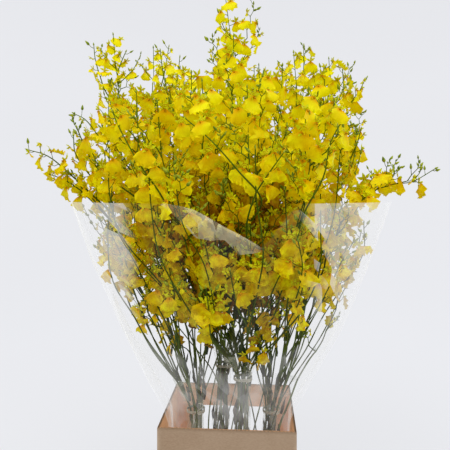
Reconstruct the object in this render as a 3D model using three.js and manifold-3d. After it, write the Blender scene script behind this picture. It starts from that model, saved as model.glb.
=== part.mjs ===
// A bunch of cut oncidium orchid sprays, standing in an open kraft carton and held together by a
// clear conical sleeve. Thirty-two sprays are tied in four bunches of eight, and one stands loose.
// Millimetres, +Z up, the front towards -Y. The origin is the centre of the carton's underside.
import * as THREE from "three";
import { mergeVertices } from "three/addons/utils/BufferGeometryUtils.js";
import Module from "manifold-3d";

const wasm = await Module();
wasm.setup();

// ---------------------------------------------------------------- driving dimensions
const GAP = 0.3; // between pieces that touch
const TAU = 2 * Math.PI;
const GOLDEN_ANGLE = Math.PI * (3 - Math.sqrt(5));

const CARTON = { width: 240, depth: 210, height: 220, board: 4 };
const CARRY_WINDOW = { width: 168, height: 76, belowRim: 46 }; // in the back wall

// The four bunches: each has its place and height at the tie, and its place on the floor.
const BUNCHES = [
  { name: "right", tie: [80, 16], tieZ: 205, foot: [62, 34] },
  { name: "back", tie: [-14, 34], tieZ: 285, foot: [-30, 42] },
  { name: "left", tie: [-64, -16], tieZ: 215, foot: [-64, -34] },
  { name: "front", tie: [26, -36], tieZ: 285, foot: [16, -44] },
];
const BUNCH_SIZE = 8;
const RING_AT_TIE = 11; // seven stalks stand in a ring round the eighth
const RING_ON_FLOOR = 26;
const FLOOR_TWIST = 1.9; // the ring turns this far, in radians, between floor and tie
const FLOOR_Z = CARTON.board + GAP;
const CUT_ALLOWANCE = 3; // each stalk starts this far lower and is cut off level with the floor

// Above the ties the stalks open out into a sunflower pattern, full at the crown's height.
const SPRAYS = BUNCHES.length * BUNCH_SIZE;
const CROWN = { z: 640, radius: 247, bulge: 0.32, flare: 0.0006 };
const OPENING_STEPS = [0.3, 0.63, 1]; // stations between tie and crown
const UPPER_Z = 760;
const SWAY = { from: 330, reach: 9, along: 100, across: 75 }; // the stalks bend together

// Tip heights, in the order of the bunches above. A tip leans where a lean is given.
const TIP_HEIGHTS = [
  790, 850, 665, 835, 997, 865, 905, 914,
  945, 885, 900, 900, 920, 880, 900, 905,
  870, 950, 840, 962, 830, 850, 800, 820,
  790, 830, 760, 800, 900, 780, 820, 740,
];
const TIP_LEANS = { 4: [-26, 0], 7: [-16, 0], 17: [16, 0], 19: [18, 0] };
const UPPER_LEAN_SHARE = 0.4; // of the lean that is reached at UPPER_Z

const STALK = { radius: 2.3, sides: 5 };
const STEPS_PER_STATION = 2;

// One spray of the right bunch arches out instead of standing up.
const ARCHING_SPRAY = 2;
const ARCH_ROUTE = [
  [124, -40, 330], [151, -62, 430], [174, -84, 520], [200, -94, 580],
  [240, -94, 622], [278, -92, 640], [314, -92, 646], [352, -92, 667],
];

// The loose spray stands in the front right corner and leans out over the carton's rim.
const LOOSE_ROUTE = [
  [66, -66, FLOOR_Z - CUT_ALLOWANCE], [80, -74, 120], [91, -76, 215], [114, -66, 268],
  [146, -56, 330], [174, -50, 368], [196, -46, 430], [214, -42, 500],
];

// Side branches, each ending in an open flower. LANE is half the room between two stalks.
const BRANCH = {
  first: 410, pitch: 84, stagger: 0.381966, belowTip: 50, radius: 1.1, sides: 3, rise: 0.9,
};
const FLOWER = { radius: 14, cup: 5, sides: 5 };
const BUD = { radius: 3.4, length: 13, sides: 5 };
const LANE = 31;
const EDGE_REACH = 22; // how much further a branch goes on the outside of the bunch

// Long side branches that leave the bunch: spray index, the height they start at, and their route.
const LONG_BRANCHES = [
  { spray: 22, from: 585, route: [[-292, -72, 665], [-330, -70, 694], [-368, -68, 706]] },
  { spray: 20, from: 660, route: [[-250, 2, 728], [-282, 0, 768], [-306, 0, 782]] },
  { spray: 5, from: 640, route: [[250, 40, 690], [272, 36, 724], [284, 34, 748]] },
];

// The clear sleeve: half-widths along X and Y at each height, and the power of its superellipse,
// from a rounded square inside the carton to an ellipse at the open end.
const SLEEVE = {
  wall: 1,
  sides: 32,
  stations: [
    { z: 150, x: 108, y: 94, power: 5 },
    { z: 215, x: 112, y: 97.4, power: 5 },
    { z: 240, x: 124, y: 108, power: 3.6 },
    { z: 300, x: 160, y: 146, power: 2.6 },
    { z: 385, x: 207, y: 192, power: 2.1 },
    { z: 500, x: 257, y: 244, power: 2 },
    { z: 612, x: 295, y: 284, power: 2 },
  ],
};
// The open edge dips at the front, in degrees from the front, and mm.
const DIP = { start: -15, lowest: 14, end: 22, depth: 64, above: 240 };

// The film round each bunch reaches from below the elastic tie round it to half a station above.
const WRAP = { reach: [-0.9, 0, 0.5], wall: 0.8, clearance: 0.6, sides: 16 };
const TIE = { radius: 1.2, slack: 0.5, sides: 5, station: 2 };

// ---------------------------------------------------------------- helpers
function material(name, color, roughness, opacity = 1) {
  return new THREE.MeshStandardMaterial({
    name, color, roughness, metalness: 0, opacity, transparent: opacity < 1,
  });
}

function solidOf(geometry) {
  const bare = geometry.clone();
  bare.deleteAttribute("normal");
  bare.deleteAttribute("uv");
  const merged = mergeVertices(bare, 1e-4);
  const corners = Array.from(merged.index.array);
  const triVerts = corners.filter((_, i) => {
    const [a, b, c] = corners.slice(i - (i % 3), i - (i % 3) + 3);
    return a !== b && b !== c && c !== a; // a lathe's poles leave faces without area
  });
  return new wasm.Manifold(new wasm.Mesh({
    numProp: 3,
    vertProperties: merged.attributes.position.array,
    triVerts: new Uint32Array(triVerts),
  }));
}

function geometryOf(solid) {
  const mesh = solid.getMesh();
  return new THREE.BufferGeometry()
    .setAttribute("position", new THREE.BufferAttribute(mesh.vertProperties, 3))
    .setIndex(new THREE.BufferAttribute(mesh.triVerts, 1));
}

function block(width, depth, height, x, y, z) {
  return solidOf(new THREE.BoxGeometry(width, depth, height).translate(x, y, z));
}

// A smooth route through its stations, stepped evenly between them, so that a tube along it
// passes through every one.
class Route extends THREE.CatmullRomCurve3 {
  constructor(stations) {
    super(stations, false, "catmullrom", 0.5);
  }

  getUtoTmapping(u) {
    return u;
  }

  // The point that is `along` stations from the start, which needn't be a whole number.
  atStation(along) {
    return this.getPoint(along / (this.points.length - 1));
  }

  atHeight(z) {
    let [low, high] = [0, 1];
    for (let i = 0; i < 24; i++) {
      const middle = (low + high) / 2;
      if (this.getPoint(middle).z < z) low = middle;
      else high = middle;
    }
    return this.getPoint(low);
  }

  tube(radius, sides) {
    const corners = Array.from({ length: sides }, (_, i) => (
      new THREE.Vector2(radius, 0).rotateAround(new THREE.Vector2(), (i * TAU) / sides)
    ));
    return solidOf(new THREE.ExtrudeGeometry(new THREE.Shape(corners), {
      steps: STEPS_PER_STATION * (this.points.length - 1), bevelEnabled: false, extrudePath: this,
    }));
  }
}

function routeOf(points) {
  return new Route(points.map((p) => new THREE.Vector3(...p)));
}

// The value at height z of a list of stations, straight between them and constant past the ends.
function atHeight(stations, z, key) {
  if (z <= stations[0].z) return stations[0][key];
  for (let i = 1; i < stations.length; i++) {
    const [a, b] = [stations[i - 1], stations[i]];
    if (z <= b.z) return a[key] + ((b[key] - a[key]) * (z - a.z)) / (b.z - a.z);
  }
  return stations.at(-1)[key];
}

// ---------------------------------------------------------------- where the sprays stand
// The crown is a sunflower pattern, cut by angle into four equal bunches.
function crownSlots() {
  const slots = [];
  for (let i = 0; i < SPRAYS; i++) {
    const share = Math.sqrt((i + 0.5) / SPRAYS);
    const angle = (i * GOLDEN_ANGLE) % TAU;
    slots.push({
      share, angle,
      x: CROWN.radius * share * Math.cos(angle),
      y: CROWN.radius * share * Math.sin(angle),
    });
  }
  const fromRight = (slot) => (slot.angle + TAU / 8) % TAU;
  return slots.sort((a, b) => fromRight(a) - fromRight(b));
}

// At the tie the slot nearest its bunch's middle is the core, and the rest stand round it in order.
function ringAngles(members) {
  const middle = {
    x: members.reduce((sum, s) => sum + s.x, 0) / members.length,
    y: members.reduce((sum, s) => sum + s.y, 0) / members.length,
  };
  const distance = (s) => Math.hypot(s.x - middle.x, s.y - middle.y);
  const core = members.reduce((a, b) => (distance(a) < distance(b) ? a : b));
  const ring = members.filter((s) => s !== core)
    .map((slot) => ({ slot, angle: Math.atan2(slot.y - middle.y, slot.x - middle.x) }))
    .sort((a, b) => a.angle - b.angle);
  const pitch = TAU / ring.length;
  const phase = ring.reduce((sum, r, j) => sum + r.angle - j * pitch, 0) / ring.length;
  const angles = new Map([[core, null]]);
  ring.forEach((r, j) => angles.set(r.slot, phase + j * pitch));
  return angles;
}

// How far a stalk has opened out at height z, from 0 at its tie to 1 at the crown.
function opened(tieZ, z) {
  if (z > CROWN.z) return 1 + CROWN.flare * (z - CROWN.z);
  const share = Math.max(0, (z - tieZ) / (CROWN.z - tieZ));
  return share * (1 + CROWN.bulge * (1 - share));
}

function swayed(x, y, z) {
  const bend = SWAY.reach * THREE.MathUtils.smoothstep(z, SWAY.from, CROWN.z);
  return [
    x + bend * Math.sin(z / SWAY.along + y / SWAY.across),
    y + bend * Math.cos(z / SWAY.along + x / SWAY.across),
    z,
  ];
}

function ringPoint([x, y], radius, angle, z) {
  const r = angle === null ? 0 : radius;
  return [x + r * Math.cos(angle ?? 0), y + r * Math.sin(angle ?? 0), z];
}

// The stations of a stalk, from its cut end on the carton's floor to its tip.
function stalkRoute(index, slot, bunch, ringAngle) {
  const turned = (share) => (ringAngle === null ? null : ringAngle - share * FLOOR_TWIST);
  const between = bunch.foot.map((v, k) => (v + bunch.tie[k]) / 2);
  const tie = ringPoint(bunch.tie, RING_AT_TIE, ringAngle, bunch.tieZ);
  const lower = [
    ringPoint(bunch.foot, RING_ON_FLOOR, turned(1), FLOOR_Z - CUT_ALLOWANCE),
    ringPoint(between, RING_AT_TIE * 1.25, turned(0.5), bunch.tieZ * 0.52),
    tie,
  ];
  if (index === ARCHING_SPRAY) return routeOf([...lower, ...ARCH_ROUTE]);
  const tip = TIP_HEIGHTS[index];
  const heights = OPENING_STEPS.map((s) => bunch.tieZ + s * (CROWN.z - bunch.tieZ));
  if (tip > UPPER_Z + 60) heights.push(UPPER_Z);
  heights.push(tip);
  const [leanX, leanY] = TIP_LEANS[index] ?? [0, 0];
  const upper = heights.map((z) => {
    const share = opened(bunch.tieZ, z);
    const lean = z === tip ? 1 : z === UPPER_Z ? UPPER_LEAN_SHARE : 0;
    return swayed(
      tie[0] + (slot.x - tie[0]) * share + lean * leanX,
      tie[1] + (slot.y - tie[1]) * share + lean * leanY, z,
    );
  });
  return routeOf([...lower, ...upper]);
}

// Each bunch with its sprays: the slot in the crown and the route of every stalk.
function planBunches() {
  const slots = crownSlots();
  return BUNCHES.map((bunch, b) => {
    const members = slots.slice(b * BUNCH_SIZE, (b + 1) * BUNCH_SIZE);
    const angles = ringAngles(members);
    const sprays = members.map((slot, j) => {
      const index = b * BUNCH_SIZE + j;
      return { index, slot, route: stalkRoute(index, slot, bunch, angles.get(slot)) };
    });
    return { name: bunch.name, tieZ: bunch.tieZ, sprays };
  });
}

// ---------------------------------------------------------------- one spray
// A lathe profile of [radius, distance] pairs, turned about the line from one point to another.
function turnedBody(profile, sides, from, to) {
  const turn = new THREE.Quaternion().setFromUnitVectors(
    new THREE.Vector3(0, 1, 0), to.clone().sub(from).normalize(),
  );
  const body = new THREE.LatheGeometry(profile.map(([r, y]) => new THREE.Vector2(r, y)), sides);
  return solidOf(body.applyQuaternion(turn).translate(from.x, from.y, from.z));
}

function flowerOnStem(from, to) {
  const length = from.distanceTo(to);
  return turnedBody([
    [0, 0], [BRANCH.radius, 0], [BRANCH.radius, length - FLOWER.cup],
    [FLOWER.radius, length], [0, length + FLOWER.cup / 2],
  ], FLOWER.sides, from, to);
}

function budAtTip(route) {
  const tip = route.points.at(-1);
  const below = route.getPoint(0.99);
  const from = tip.clone().lerp(below, 2 / tip.distanceTo(below));
  return turnedBody([[0, 0], [BUD.radius, BUD.length / 2], [0, BUD.length]], BUD.sides, from, tip);
}

// The short branches leave a stalk at even heights, each a golden angle on from the one below.
function shortBranches({ index, slot, route }, tieZ) {
  const last = index === ARCHING_SPRAY
    ? ARCH_ROUTE[3][2] : route.points.at(-1).z - BRANCH.belowTip;
  const first = BRANCH.first + BRANCH.pitch * ((index * BRANCH.stagger) % 1);
  const branches = [];
  for (let b = 0, z = first; z < last; b++, z += BRANCH.pitch) {
    const azimuth = slot.angle + (b + 0.5) * GOLDEN_ANGLE;
    const outwards = Math.max(0, Math.cos(azimuth - slot.angle)) * slot.share ** 2;
    const room = LANE * Math.min(1, opened(tieZ, z)) - FLOWER.radius * 0.55;
    const reach = room + (z > CROWN.z ? EDGE_REACH * outwards : 0);
    const from = route.atHeight(z);
    branches.push(flowerOnStem(from, new THREE.Vector3(
      from.x + reach * Math.cos(azimuth), from.y + reach * Math.sin(azimuth),
      from.z + reach * BRANCH.rise,
    )));
  }
  return branches;
}

function bunchedSpray(spray, tieZ) {
  const { index, route } = spray;
  const parts = [
    route.tube(STALK.radius, STALK.sides).trimByPlane([0, 0, 1], FLOOR_Z),
    budAtTip(route),
    ...shortBranches(spray, tieZ),
  ];
  for (const long of LONG_BRANCHES.filter((l) => l.spray === index)) {
    const branch = new Route([
      route.atHeight(long.from), ...long.route.map((p) => new THREE.Vector3(...p)),
    ]);
    parts.push(branch.tube(BRANCH.radius, BRANCH.sides), budAtTip(branch));
    branch.points.slice(1, -1).forEach((p) => {
      parts.push(flowerOnStem(p, new THREE.Vector3(p.x, p.y, p.z + FLOWER.radius)));
    });
  }
  return parts;
}

// Flowers stand up from the outer stations of the arching and the loose spray.
function flowersAlong(route, stations) {
  return stations.map((station) => {
    const p = route.atStation(station);
    return flowerOnStem(p, new THREE.Vector3(p.x, p.y, p.z + FLOWER.radius));
  });
}

function makeSprays(bunches) {
  const green = material("stalk_green", 0x5c7030, 0.55);
  const meshOf = (name, parts) => {
    const mesh = new THREE.Mesh(geometryOf(parts.reduce((a, part) => a.add(part))), green);
    mesh.name = name;
    return mesh;
  };
  const bunched = bunches.flatMap(({ name, tieZ, sprays }) => sprays.map((spray, j) => {
    const parts = bunchedSpray(spray, tieZ);
    if (spray.index === ARCHING_SPRAY) parts.push(...flowersAlong(spray.route, [7, 8, 9]));
    return meshOf(`spray_${name}_${j + 1}`, parts);
  }));
  const loose = routeOf(LOOSE_ROUTE);
  return [...bunched, meshOf("spray_loose", [
    loose.tube(STALK.radius, STALK.sides).trimByPlane([0, 0, 1], FLOOR_Z),
    budAtTip(loose), ...flowersAlong(loose, [5.2, 6, 6.6]),
  ])];
}

// ---------------------------------------------------------------- carton
function makeCarton() {
  const { width, depth, height, board } = CARTON;
  const outside = block(width, depth, height, 0, 0, height / 2);
  const inside = block(
    width - 2 * board, depth - 2 * board, height, 0, 0, height / 2 + board,
  );
  const carryWindow = block(
    CARRY_WINDOW.width, 4 * board, CARRY_WINDOW.height,
    0, depth / 2, height - CARRY_WINDOW.belowRim - CARRY_WINDOW.height / 2,
  );
  const kraft = material("kraft_board", 0xb08f6c, 0.85);
  const mesh = new THREE.Mesh(geometryOf(outside.subtract(inside).subtract(carryWindow)), kraft);
  mesh.name = "kraft_carton";
  return mesh;
}

// ---------------------------------------------------------------- film and ties
// A sheet of film as a closed body. Columns run round it and rows up it, in an outer and an inner
// layer that are split into triangles the same way, so the wall keeps its thickness. Strips close
// the edges; a tube's first and last columns meet, so it has edges only at its ends.
function filmSheet({ columns, rows, isTube, placeVertex }) {
  const positions = [];
  for (const isOuter of [true, false]) {
    for (let row = 0; row <= rows; row++) {
      for (let column = 0; column <= columns; column++) {
        const { x, y, z } = placeVertex(column / columns, row, isOuter);
        positions.push(x, y, z);
      }
    }
  }
  const outer = ([column, row]) => row * (columns + 1) + column;
  const inner = (at) => outer(at) + (columns + 1) * (rows + 1);
  const index = [];
  const addQuad = (a, b, c, d) => index.push(a, b, c, a, c, d);
  for (let i = 0; i < columns; i++) {
    for (let j = 0; j < rows; j++) {
      const corners = [[i, j], [i + 1, j], [i + 1, j + 1], [i, j + 1]];
      addQuad(...corners.map(outer));
      const [a, b, c, d] = corners.map(inner);
      addQuad(a, d, c, b);
    }
    addQuad(inner([i, 0]), inner([i + 1, 0]), outer([i + 1, 0]), outer([i, 0]));
    addQuad(outer([i, rows]), outer([i + 1, rows]), inner([i + 1, rows]), inner([i, rows]));
  }
  for (let j = 0; j < rows && !isTube; j++) {
    addQuad(outer([0, j]), outer([0, j + 1]), inner([0, j + 1]), inner([0, j]));
    const [low, high] = [[columns, j], [columns, j + 1]];
    addQuad(outer(low), inner(low), inner(high), outer(high));
  }
  const sheet = new THREE.BufferGeometry();
  sheet.setAttribute("position", new THREE.Float32BufferAttribute(positions, 3));
  sheet.setIndex(index);
  return geometryOf(solidOf(sheet));
}

// Degrees round from the front, positive towards the right.
function fromFront(angle) {
  const turned = THREE.MathUtils.radToDeg(angle) + 90;
  return turned > 180 ? turned - 360 : turned;
}

function rimDrop(angle) {
  const at = fromFront(angle);
  if (at <= DIP.start || at >= DIP.end) return 0;
  return at < DIP.lowest
    ? (DIP.depth * (at - DIP.start)) / (DIP.lowest - DIP.start)
    : (DIP.depth * (DIP.end - at)) / (DIP.end - DIP.lowest);
}

function sleevePoint(angle, height, offset) {
  const { stations } = SLEEVE;
  const [low, high] = [DIP.above, stations.at(-1).z];
  const z = height - (rimDrop(angle) * Math.max(0, height - low)) / (high - low);
  const power = atHeight(stations, z, "power");
  const [c, s] = [Math.cos(angle), Math.sin(angle)];
  const [a, b] = [atHeight(stations, z, "x") + offset, atHeight(stations, z, "y") + offset];
  const r = (Math.abs(c / a) ** power + Math.abs(s / b) ** power) ** (-1 / power);
  return { x: r * c, y: r * s, z };
}

// The sleeve is a front and a back ply of film, welded together down both sides.
function makeSleevePlies() {
  const film = material("clear_film", 0xf2f4f4, 0.12, 0.25);
  return [["front", -Math.PI], ["back", 0]].map(([side, firstAngle]) => {
    const ply = filmSheet({
      columns: SLEEVE.sides / 2,
      rows: SLEEVE.stations.length - 1,
      isTube: false,
      placeVertex: (share, row, isOuter) => {
        const angle = firstAngle + share * Math.PI;
        const point = sleevePoint(angle, SLEEVE.stations[row].z, isOuter ? SLEEVE.wall : 0);
        const y = side === "front" ? Math.min(point.y, -GAP / 2) : Math.max(point.y, GAP / 2);
        return { ...point, y };
      },
    });
    const mesh = new THREE.Mesh(ply, film);
    mesh.name = `sleeve_${side}_ply`;
    return mesh;
  });
}

// The middle of a bunch at a station of its stalks, and the radius that clears them all there.
function bunchSection({ sprays }, station) {
  const points = sprays.map(({ route }) => route.atStation(station));
  const middle = (key) => points.reduce((sum, p) => sum + p[key], 0) / points.length;
  const [x, y, z] = [middle("x"), middle("y"), middle("z")];
  const spread = Math.max(...points.map((p) => Math.hypot(p.x - x, p.y - y)));
  const clear = spread + STALK.radius + WRAP.clearance;
  return { x, y, z, radius: clear / Math.cos(Math.PI / WRAP.sides) };
}

function makeWrapsAndTies(bunches) {
  const film = material("clear_film", 0xf2f4f4, 0.12, 0.25);
  const elastic = material("tie_elastic", 0xd9d6c8, 0.6);
  return bunches.flatMap((bunch) => {
    const sections = WRAP.reach.map((shift) => bunchSection(bunch, TIE.station + shift));
    const tube = filmSheet({
      columns: WRAP.sides,
      rows: sections.length - 1,
      isTube: true,
      placeVertex: (share, row, isOuter) => {
        const section = sections[row];
        const r = section.radius + (isOuter ? WRAP.wall : 0);
        const angle = share * TAU;
        return {
          x: section.x + r * Math.cos(angle), y: section.y + r * Math.sin(angle), z: section.z,
        };
      },
    });
    const wrap = new THREE.Mesh(tube, film);
    wrap.name = `bunch_wrap_${bunch.name}`;
    const { x, y, z, radius } = bunchSection(bunch, TIE.station);
    const ringRadius = radius + WRAP.wall + TIE.slack + TIE.radius;
    const tie = new THREE.Mesh(
      new THREE.TorusGeometry(ringRadius, TIE.radius, TIE.sides, WRAP.sides), elastic,
    );
    tie.position.set(x, y, z);
    tie.name = `bunch_tie_${bunch.name}`;
    return [wrap, tie];
  });
}

// ---------------------------------------------------------------- the whole bunch
const bunches = planBunches();
const group = new THREE.Group();
group.add(
  makeCarton(), ...makeSleevePlies(), ...makeWrapsAndTies(bunches), ...makeSprays(bunches),
);
export default group;
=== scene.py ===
"""Looks for a bunch of cut yellow oncidium sprays that stands in a kraft carton and a clear sleeve.

The file is laid out as an add-on: the sidebar's Orchid Bunch tab has a button for each piece or
group of like pieces, and main() presses them in order. Lengths in constants are millimetres,
apart from the stage's, which are metres.
"""
import math
import random
from collections import namedtuple

import bmesh
import bpy
from bpy.props import FloatProperty, FloatVectorProperty, PointerProperty
from mathutils import Matrix, Quaternion, Vector


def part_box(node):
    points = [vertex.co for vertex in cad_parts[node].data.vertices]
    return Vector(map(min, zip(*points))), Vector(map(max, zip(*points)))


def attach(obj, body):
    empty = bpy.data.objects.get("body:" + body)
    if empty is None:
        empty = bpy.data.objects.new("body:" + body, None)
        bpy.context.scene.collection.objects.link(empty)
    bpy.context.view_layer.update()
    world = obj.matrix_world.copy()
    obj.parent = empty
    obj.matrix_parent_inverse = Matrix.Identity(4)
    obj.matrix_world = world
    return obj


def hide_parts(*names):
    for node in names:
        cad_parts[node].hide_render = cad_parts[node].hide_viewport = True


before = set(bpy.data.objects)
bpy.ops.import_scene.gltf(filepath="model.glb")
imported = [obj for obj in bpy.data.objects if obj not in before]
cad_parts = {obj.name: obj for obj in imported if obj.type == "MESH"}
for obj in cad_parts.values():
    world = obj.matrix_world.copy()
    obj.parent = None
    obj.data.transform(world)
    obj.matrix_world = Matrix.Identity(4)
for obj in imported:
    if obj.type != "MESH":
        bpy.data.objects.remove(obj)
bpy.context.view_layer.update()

bl_info = {
    "name": "Orchid Bunch",
    "version": (1, 0, 0),
    "blender": (4, 5, 0),
    "location": "View3D > Sidebar > Orchid Bunch",
    "description": "Builds a sleeved bunch of oncidium sprays in its carton",
    "category": "Object",
}

MM = 0.001
TAU = math.tau
UP = Vector((0, 0, 1))
GOLDEN_ANGLE = math.pi * (3 - math.sqrt(5))
GOLDEN_SHARE = 0.381966  # the golden angle as a share of a turn
SEED = 7

# ---------------------------------------------------------------- where the stalks run
Bunch = namedtuple("Bunch", "name tie tie_z foot")
BUNCHES = (
    Bunch("right", (80, 16), 205, (62, 34)),
    Bunch("back", (-14, 34), 285, (-30, 42)),
    Bunch("left", (-64, -16), 215, (-64, -34)),
    Bunch("front", (26, -36), 285, (16, -44)),
)
BUNCH_SIZE = 8
RING_AT_TIE, RING_HALFWAY, RING_ON_FLOOR, FLOOR_TWIST = 11, 13.75, 26, 1.9
HALFWAY_UP = 0.52  # the height of that ring, as a share of the tie's
FLOOR_Z = 4.3
CROWN_Z, CROWN_RADIUS, CROWN_BULGE, CROWN_FLARE = 640, 247, 0.32, 0.0006
OPENING_STEPS = (0.3, 0.63, 1)
UPPER_Z, TALLER_BY = 760, 60  # a stalk this much taller than UPPER_Z has a station there
SWAY_FROM, SWAY_REACH, SWAY_ALONG, SWAY_ACROSS = 330, 9, 100, 75
TIP_HEIGHTS = (
    790, 850, 665, 835, 997, 865, 905, 914,
    945, 885, 900, 900, 920, 880, 900, 905,
    870, 950, 840, 962, 830, 850, 800, 820,
    790, 830, 760, 800, 900, 780, 820, 740,
)
TIP_LEANS = {4: (-26, 0), 7: (-16, 0), 17: (16, 0), 19: (18, 0)}
UPPER_LEAN_SHARE = 0.4
ARCHING_SPRAY = 2
ARCH_ROUTE = (
    (124, -40, 330), (151, -62, 430), (174, -84, 520), (200, -94, 580),
    (240, -94, 622), (278, -92, 640), (314, -92, 646), (352, -92, 667),
)
LOOSE_ROUTE = (
    (66, -66, 4.3), (80, -74, 120), (91, -76, 215), (114, -66, 268),
    (146, -56, 330), (174, -50, 368), (196, -46, 430), (214, -42, 500),
)
# Long side branches that leave the bunch, fill its sides and top tufts, or cross its front:
# spray number, the height they start at, the station their flowers start at, their route.
LONG_BRANCHES = (
    (22, 585, 0.7, ((-292, -72, 665), (-330, -70, 694), (-368, -68, 706))),
    (22, 560, 0.7, ((-258, -70, 622), (-292, -76, 648), (-322, -76, 660))),
    (23, 600, 0.7, ((-236, -60, 668), (-262, -66, 712), (-276, -66, 745))),
    (22, 600, 0.4, ((-236, -70, 640), (-262, -68, 672), (-280, -66, 700), (-284, -64, 730))),
    (22, 560, 0.4, ((-240, -72, 610), (-268, -74, 640), (-282, -74, 664))),
    (22, 440, 1.0, ((-192, -56, 490), (-220, -60, 540), (-240, -62, 590))),
    (20, 450, 1.0, ((-180, 6, 500), (-214, 10, 555), (-240, 12, 600))),
    (23, 420, 1.0, ((-145, -80, 460), (-180, -96, 520), (-206, -104, 575))),
    (20, 660, 0.7, ((-250, 2, 728), (-282, 0, 768), (-306, 0, 782))),
    (5, 640, 0.7, ((232, 30, 690), (246, 26, 724), (252, 24, 748))),
    (19, 790, 0.4, ((-262, 62, 835), (-276, 62, 872), (-286, 64, 905), (-290, 66, 935))),
    (19, 850, 0.5, ((-243, 80, 880), (-236, 84, 905), (-228, 86, 925))),
    (17, 830, 0.4, ((-160, 128, 860), (-150, 126, 900), (-142, 124, 945))),
    (18, 780, 0.5, ((-118, 66, 835), (-112, 66, 870), (-108, 64, 905))),
    (18, 790, 0.5, ((-138, 68, 850), (-146, 70, 890), (-150, 72, 922))),
    (29, 580, 3.4, ((60, -240, 617), (29, -258, 656), (-10, -256, 700), (-48, -248, 733))),
    (29, 520, 3.2, ((38, -228, 575), (50, -256, 621), (66, -264, 648), (90, -260, 682))),
    (24, 560, 3.2, ((-82, -226, 609), (-119, -232, 668), (-151, -218, 719), (-170, -200, 752))),
    (31, 560, 3.3, ((122, -236, 600), (148, -240, 650), (160, -226, 700), (184, -214, 742))),
)

# ---------------------------------------------------------------- the carton and the sleeve
BOARD = 4
WINDOW_WIDTH, WINDOW_HEIGHT, WINDOW_BELOW_RIM = 168, 76, 46
SleeveStation = namedtuple("SleeveStation", "z x y power")
SLEEVE = (
    SleeveStation(150, 108, 94, 5), SleeveStation(215, 112, 97.4, 5),
    SleeveStation(240, 124, 108, 3.6), SleeveStation(300, 160, 146, 2.6),
    SleeveStation(385, 207, 192, 2.1), SleeveStation(500, 257, 244, 2),
    SleeveStation(612, 295, 284, 2),
)
SLEEVE_FOOT, SLEEVE_RIM = SLEEVE[0].z, SLEEVE[-1].z
# The front edge dips: degrees round from the front, positive towards the right.
DIP_START, DIP_LOWEST, DIP_END, DIP_DEPTH, DIP_ABOVE = -15, 14, 22, 64, 240
OVER_RIM = 70  # above the rim the sprays are free of the film again by this height


# ---------------------------------------------------------------- routes worked out
class Route:
    """A smooth route through its stations, stepped evenly between them."""

    def __init__(self, stations):
        points = [Vector(p) for p in stations]
        self.spans = len(points) - 1
        self.points = [2 * points[0] - points[1], *points, 2 * points[-1] - points[-2]]

    def at(self, station):
        i = min(max(int(station), 0), self.spans - 1)
        t = station - i
        a, b, c, d = self.points[i : i + 4]
        square, cube = 2 * a - 5 * b + 4 * c - d, 3 * b - a - 3 * c + d
        return 0.5 * (2 * b + (c - a) * t + square * t**2 + cube * t**3)

    def heading(self, station):
        ahead, behind = min(station + 0.05, self.spans), max(station - 0.05, 0)
        return (self.at(ahead) - self.at(behind)).normalized()

    def at_height(self, z):
        return self.at(self.station_at(z))

    def station_at(self, z):
        low, high = 0.0, float(self.spans)
        for _ in range(24):
            middle = (low + high) / 2
            low, high = (middle, high) if self.at(middle).z < z else (low, middle)
        return low


Slot = namedtuple("Slot", "share angle x y")
Spray = namedtuple("Spray", "node number route slot")


def crown_slots():
    """The crown is a sunflower pattern, in order round from the right."""
    slots = []
    for i in range(len(BUNCHES) * BUNCH_SIZE):
        share = math.sqrt((i + 0.5) / (len(BUNCHES) * BUNCH_SIZE))
        angle = (i * GOLDEN_ANGLE) % TAU
        radius = CROWN_RADIUS * share
        slots.append(Slot(share, angle, radius * math.cos(angle), radius * math.sin(angle)))
    return sorted(slots, key=lambda slot: (slot.angle + TAU / 8) % TAU)


def ring_angles(members):
    """Each slot's place in the ring at the tie, and None for the core that the ring surrounds."""
    mean_x = sum(slot.x for slot in members) / len(members)
    mean_y = sum(slot.y for slot in members) / len(members)
    core = min(members, key=lambda slot: math.hypot(slot.x - mean_x, slot.y - mean_y))
    ring = sorted(
        (math.atan2(slot.y - mean_y, slot.x - mean_x), slot) for slot in members if slot != core
    )
    pitch = TAU / len(ring)
    phase = sum(angle - j * pitch for j, (angle, _) in enumerate(ring)) / len(ring)
    return {core: None, **{slot: phase + j * pitch for j, (_, slot) in enumerate(ring)}}


def opened(tie_z, z):
    """How far a stalk has opened out at height z, from 0 at its tie to 1 at the crown."""
    if z > CROWN_Z:
        return 1 + CROWN_FLARE * (z - CROWN_Z)
    share = max(0, (z - tie_z) / (CROWN_Z - tie_z))
    return share * (1 + CROWN_BULGE * (1 - share))


def smooth_step(value, low, high):
    share = min(1, max(0, (value - low) / (high - low)))
    return share * share * (3 - 2 * share)


def spoke(angle):
    """A level direction, this far round from the right."""
    return Vector((math.cos(angle), math.sin(angle), 0))


def swayed(x, y, z):
    """The place, moved a little aside on a slow wave that grows with its height."""
    bend = SWAY_REACH * smooth_step(z, SWAY_FROM, CROWN_Z)
    return (
        x + bend * math.sin(z / SWAY_ALONG + y / SWAY_ACROSS),
        y + bend * math.cos(z / SWAY_ALONG + x / SWAY_ACROSS),
        z,
    )


def ring_point(centre, radius, angle, z):
    """A place on a level ring, or in its middle if there is no angle."""
    if angle is None:
        return (centre[0], centre[1], z)
    return (centre[0] + radius * math.cos(angle), centre[1] + radius * math.sin(angle), z)


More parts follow.
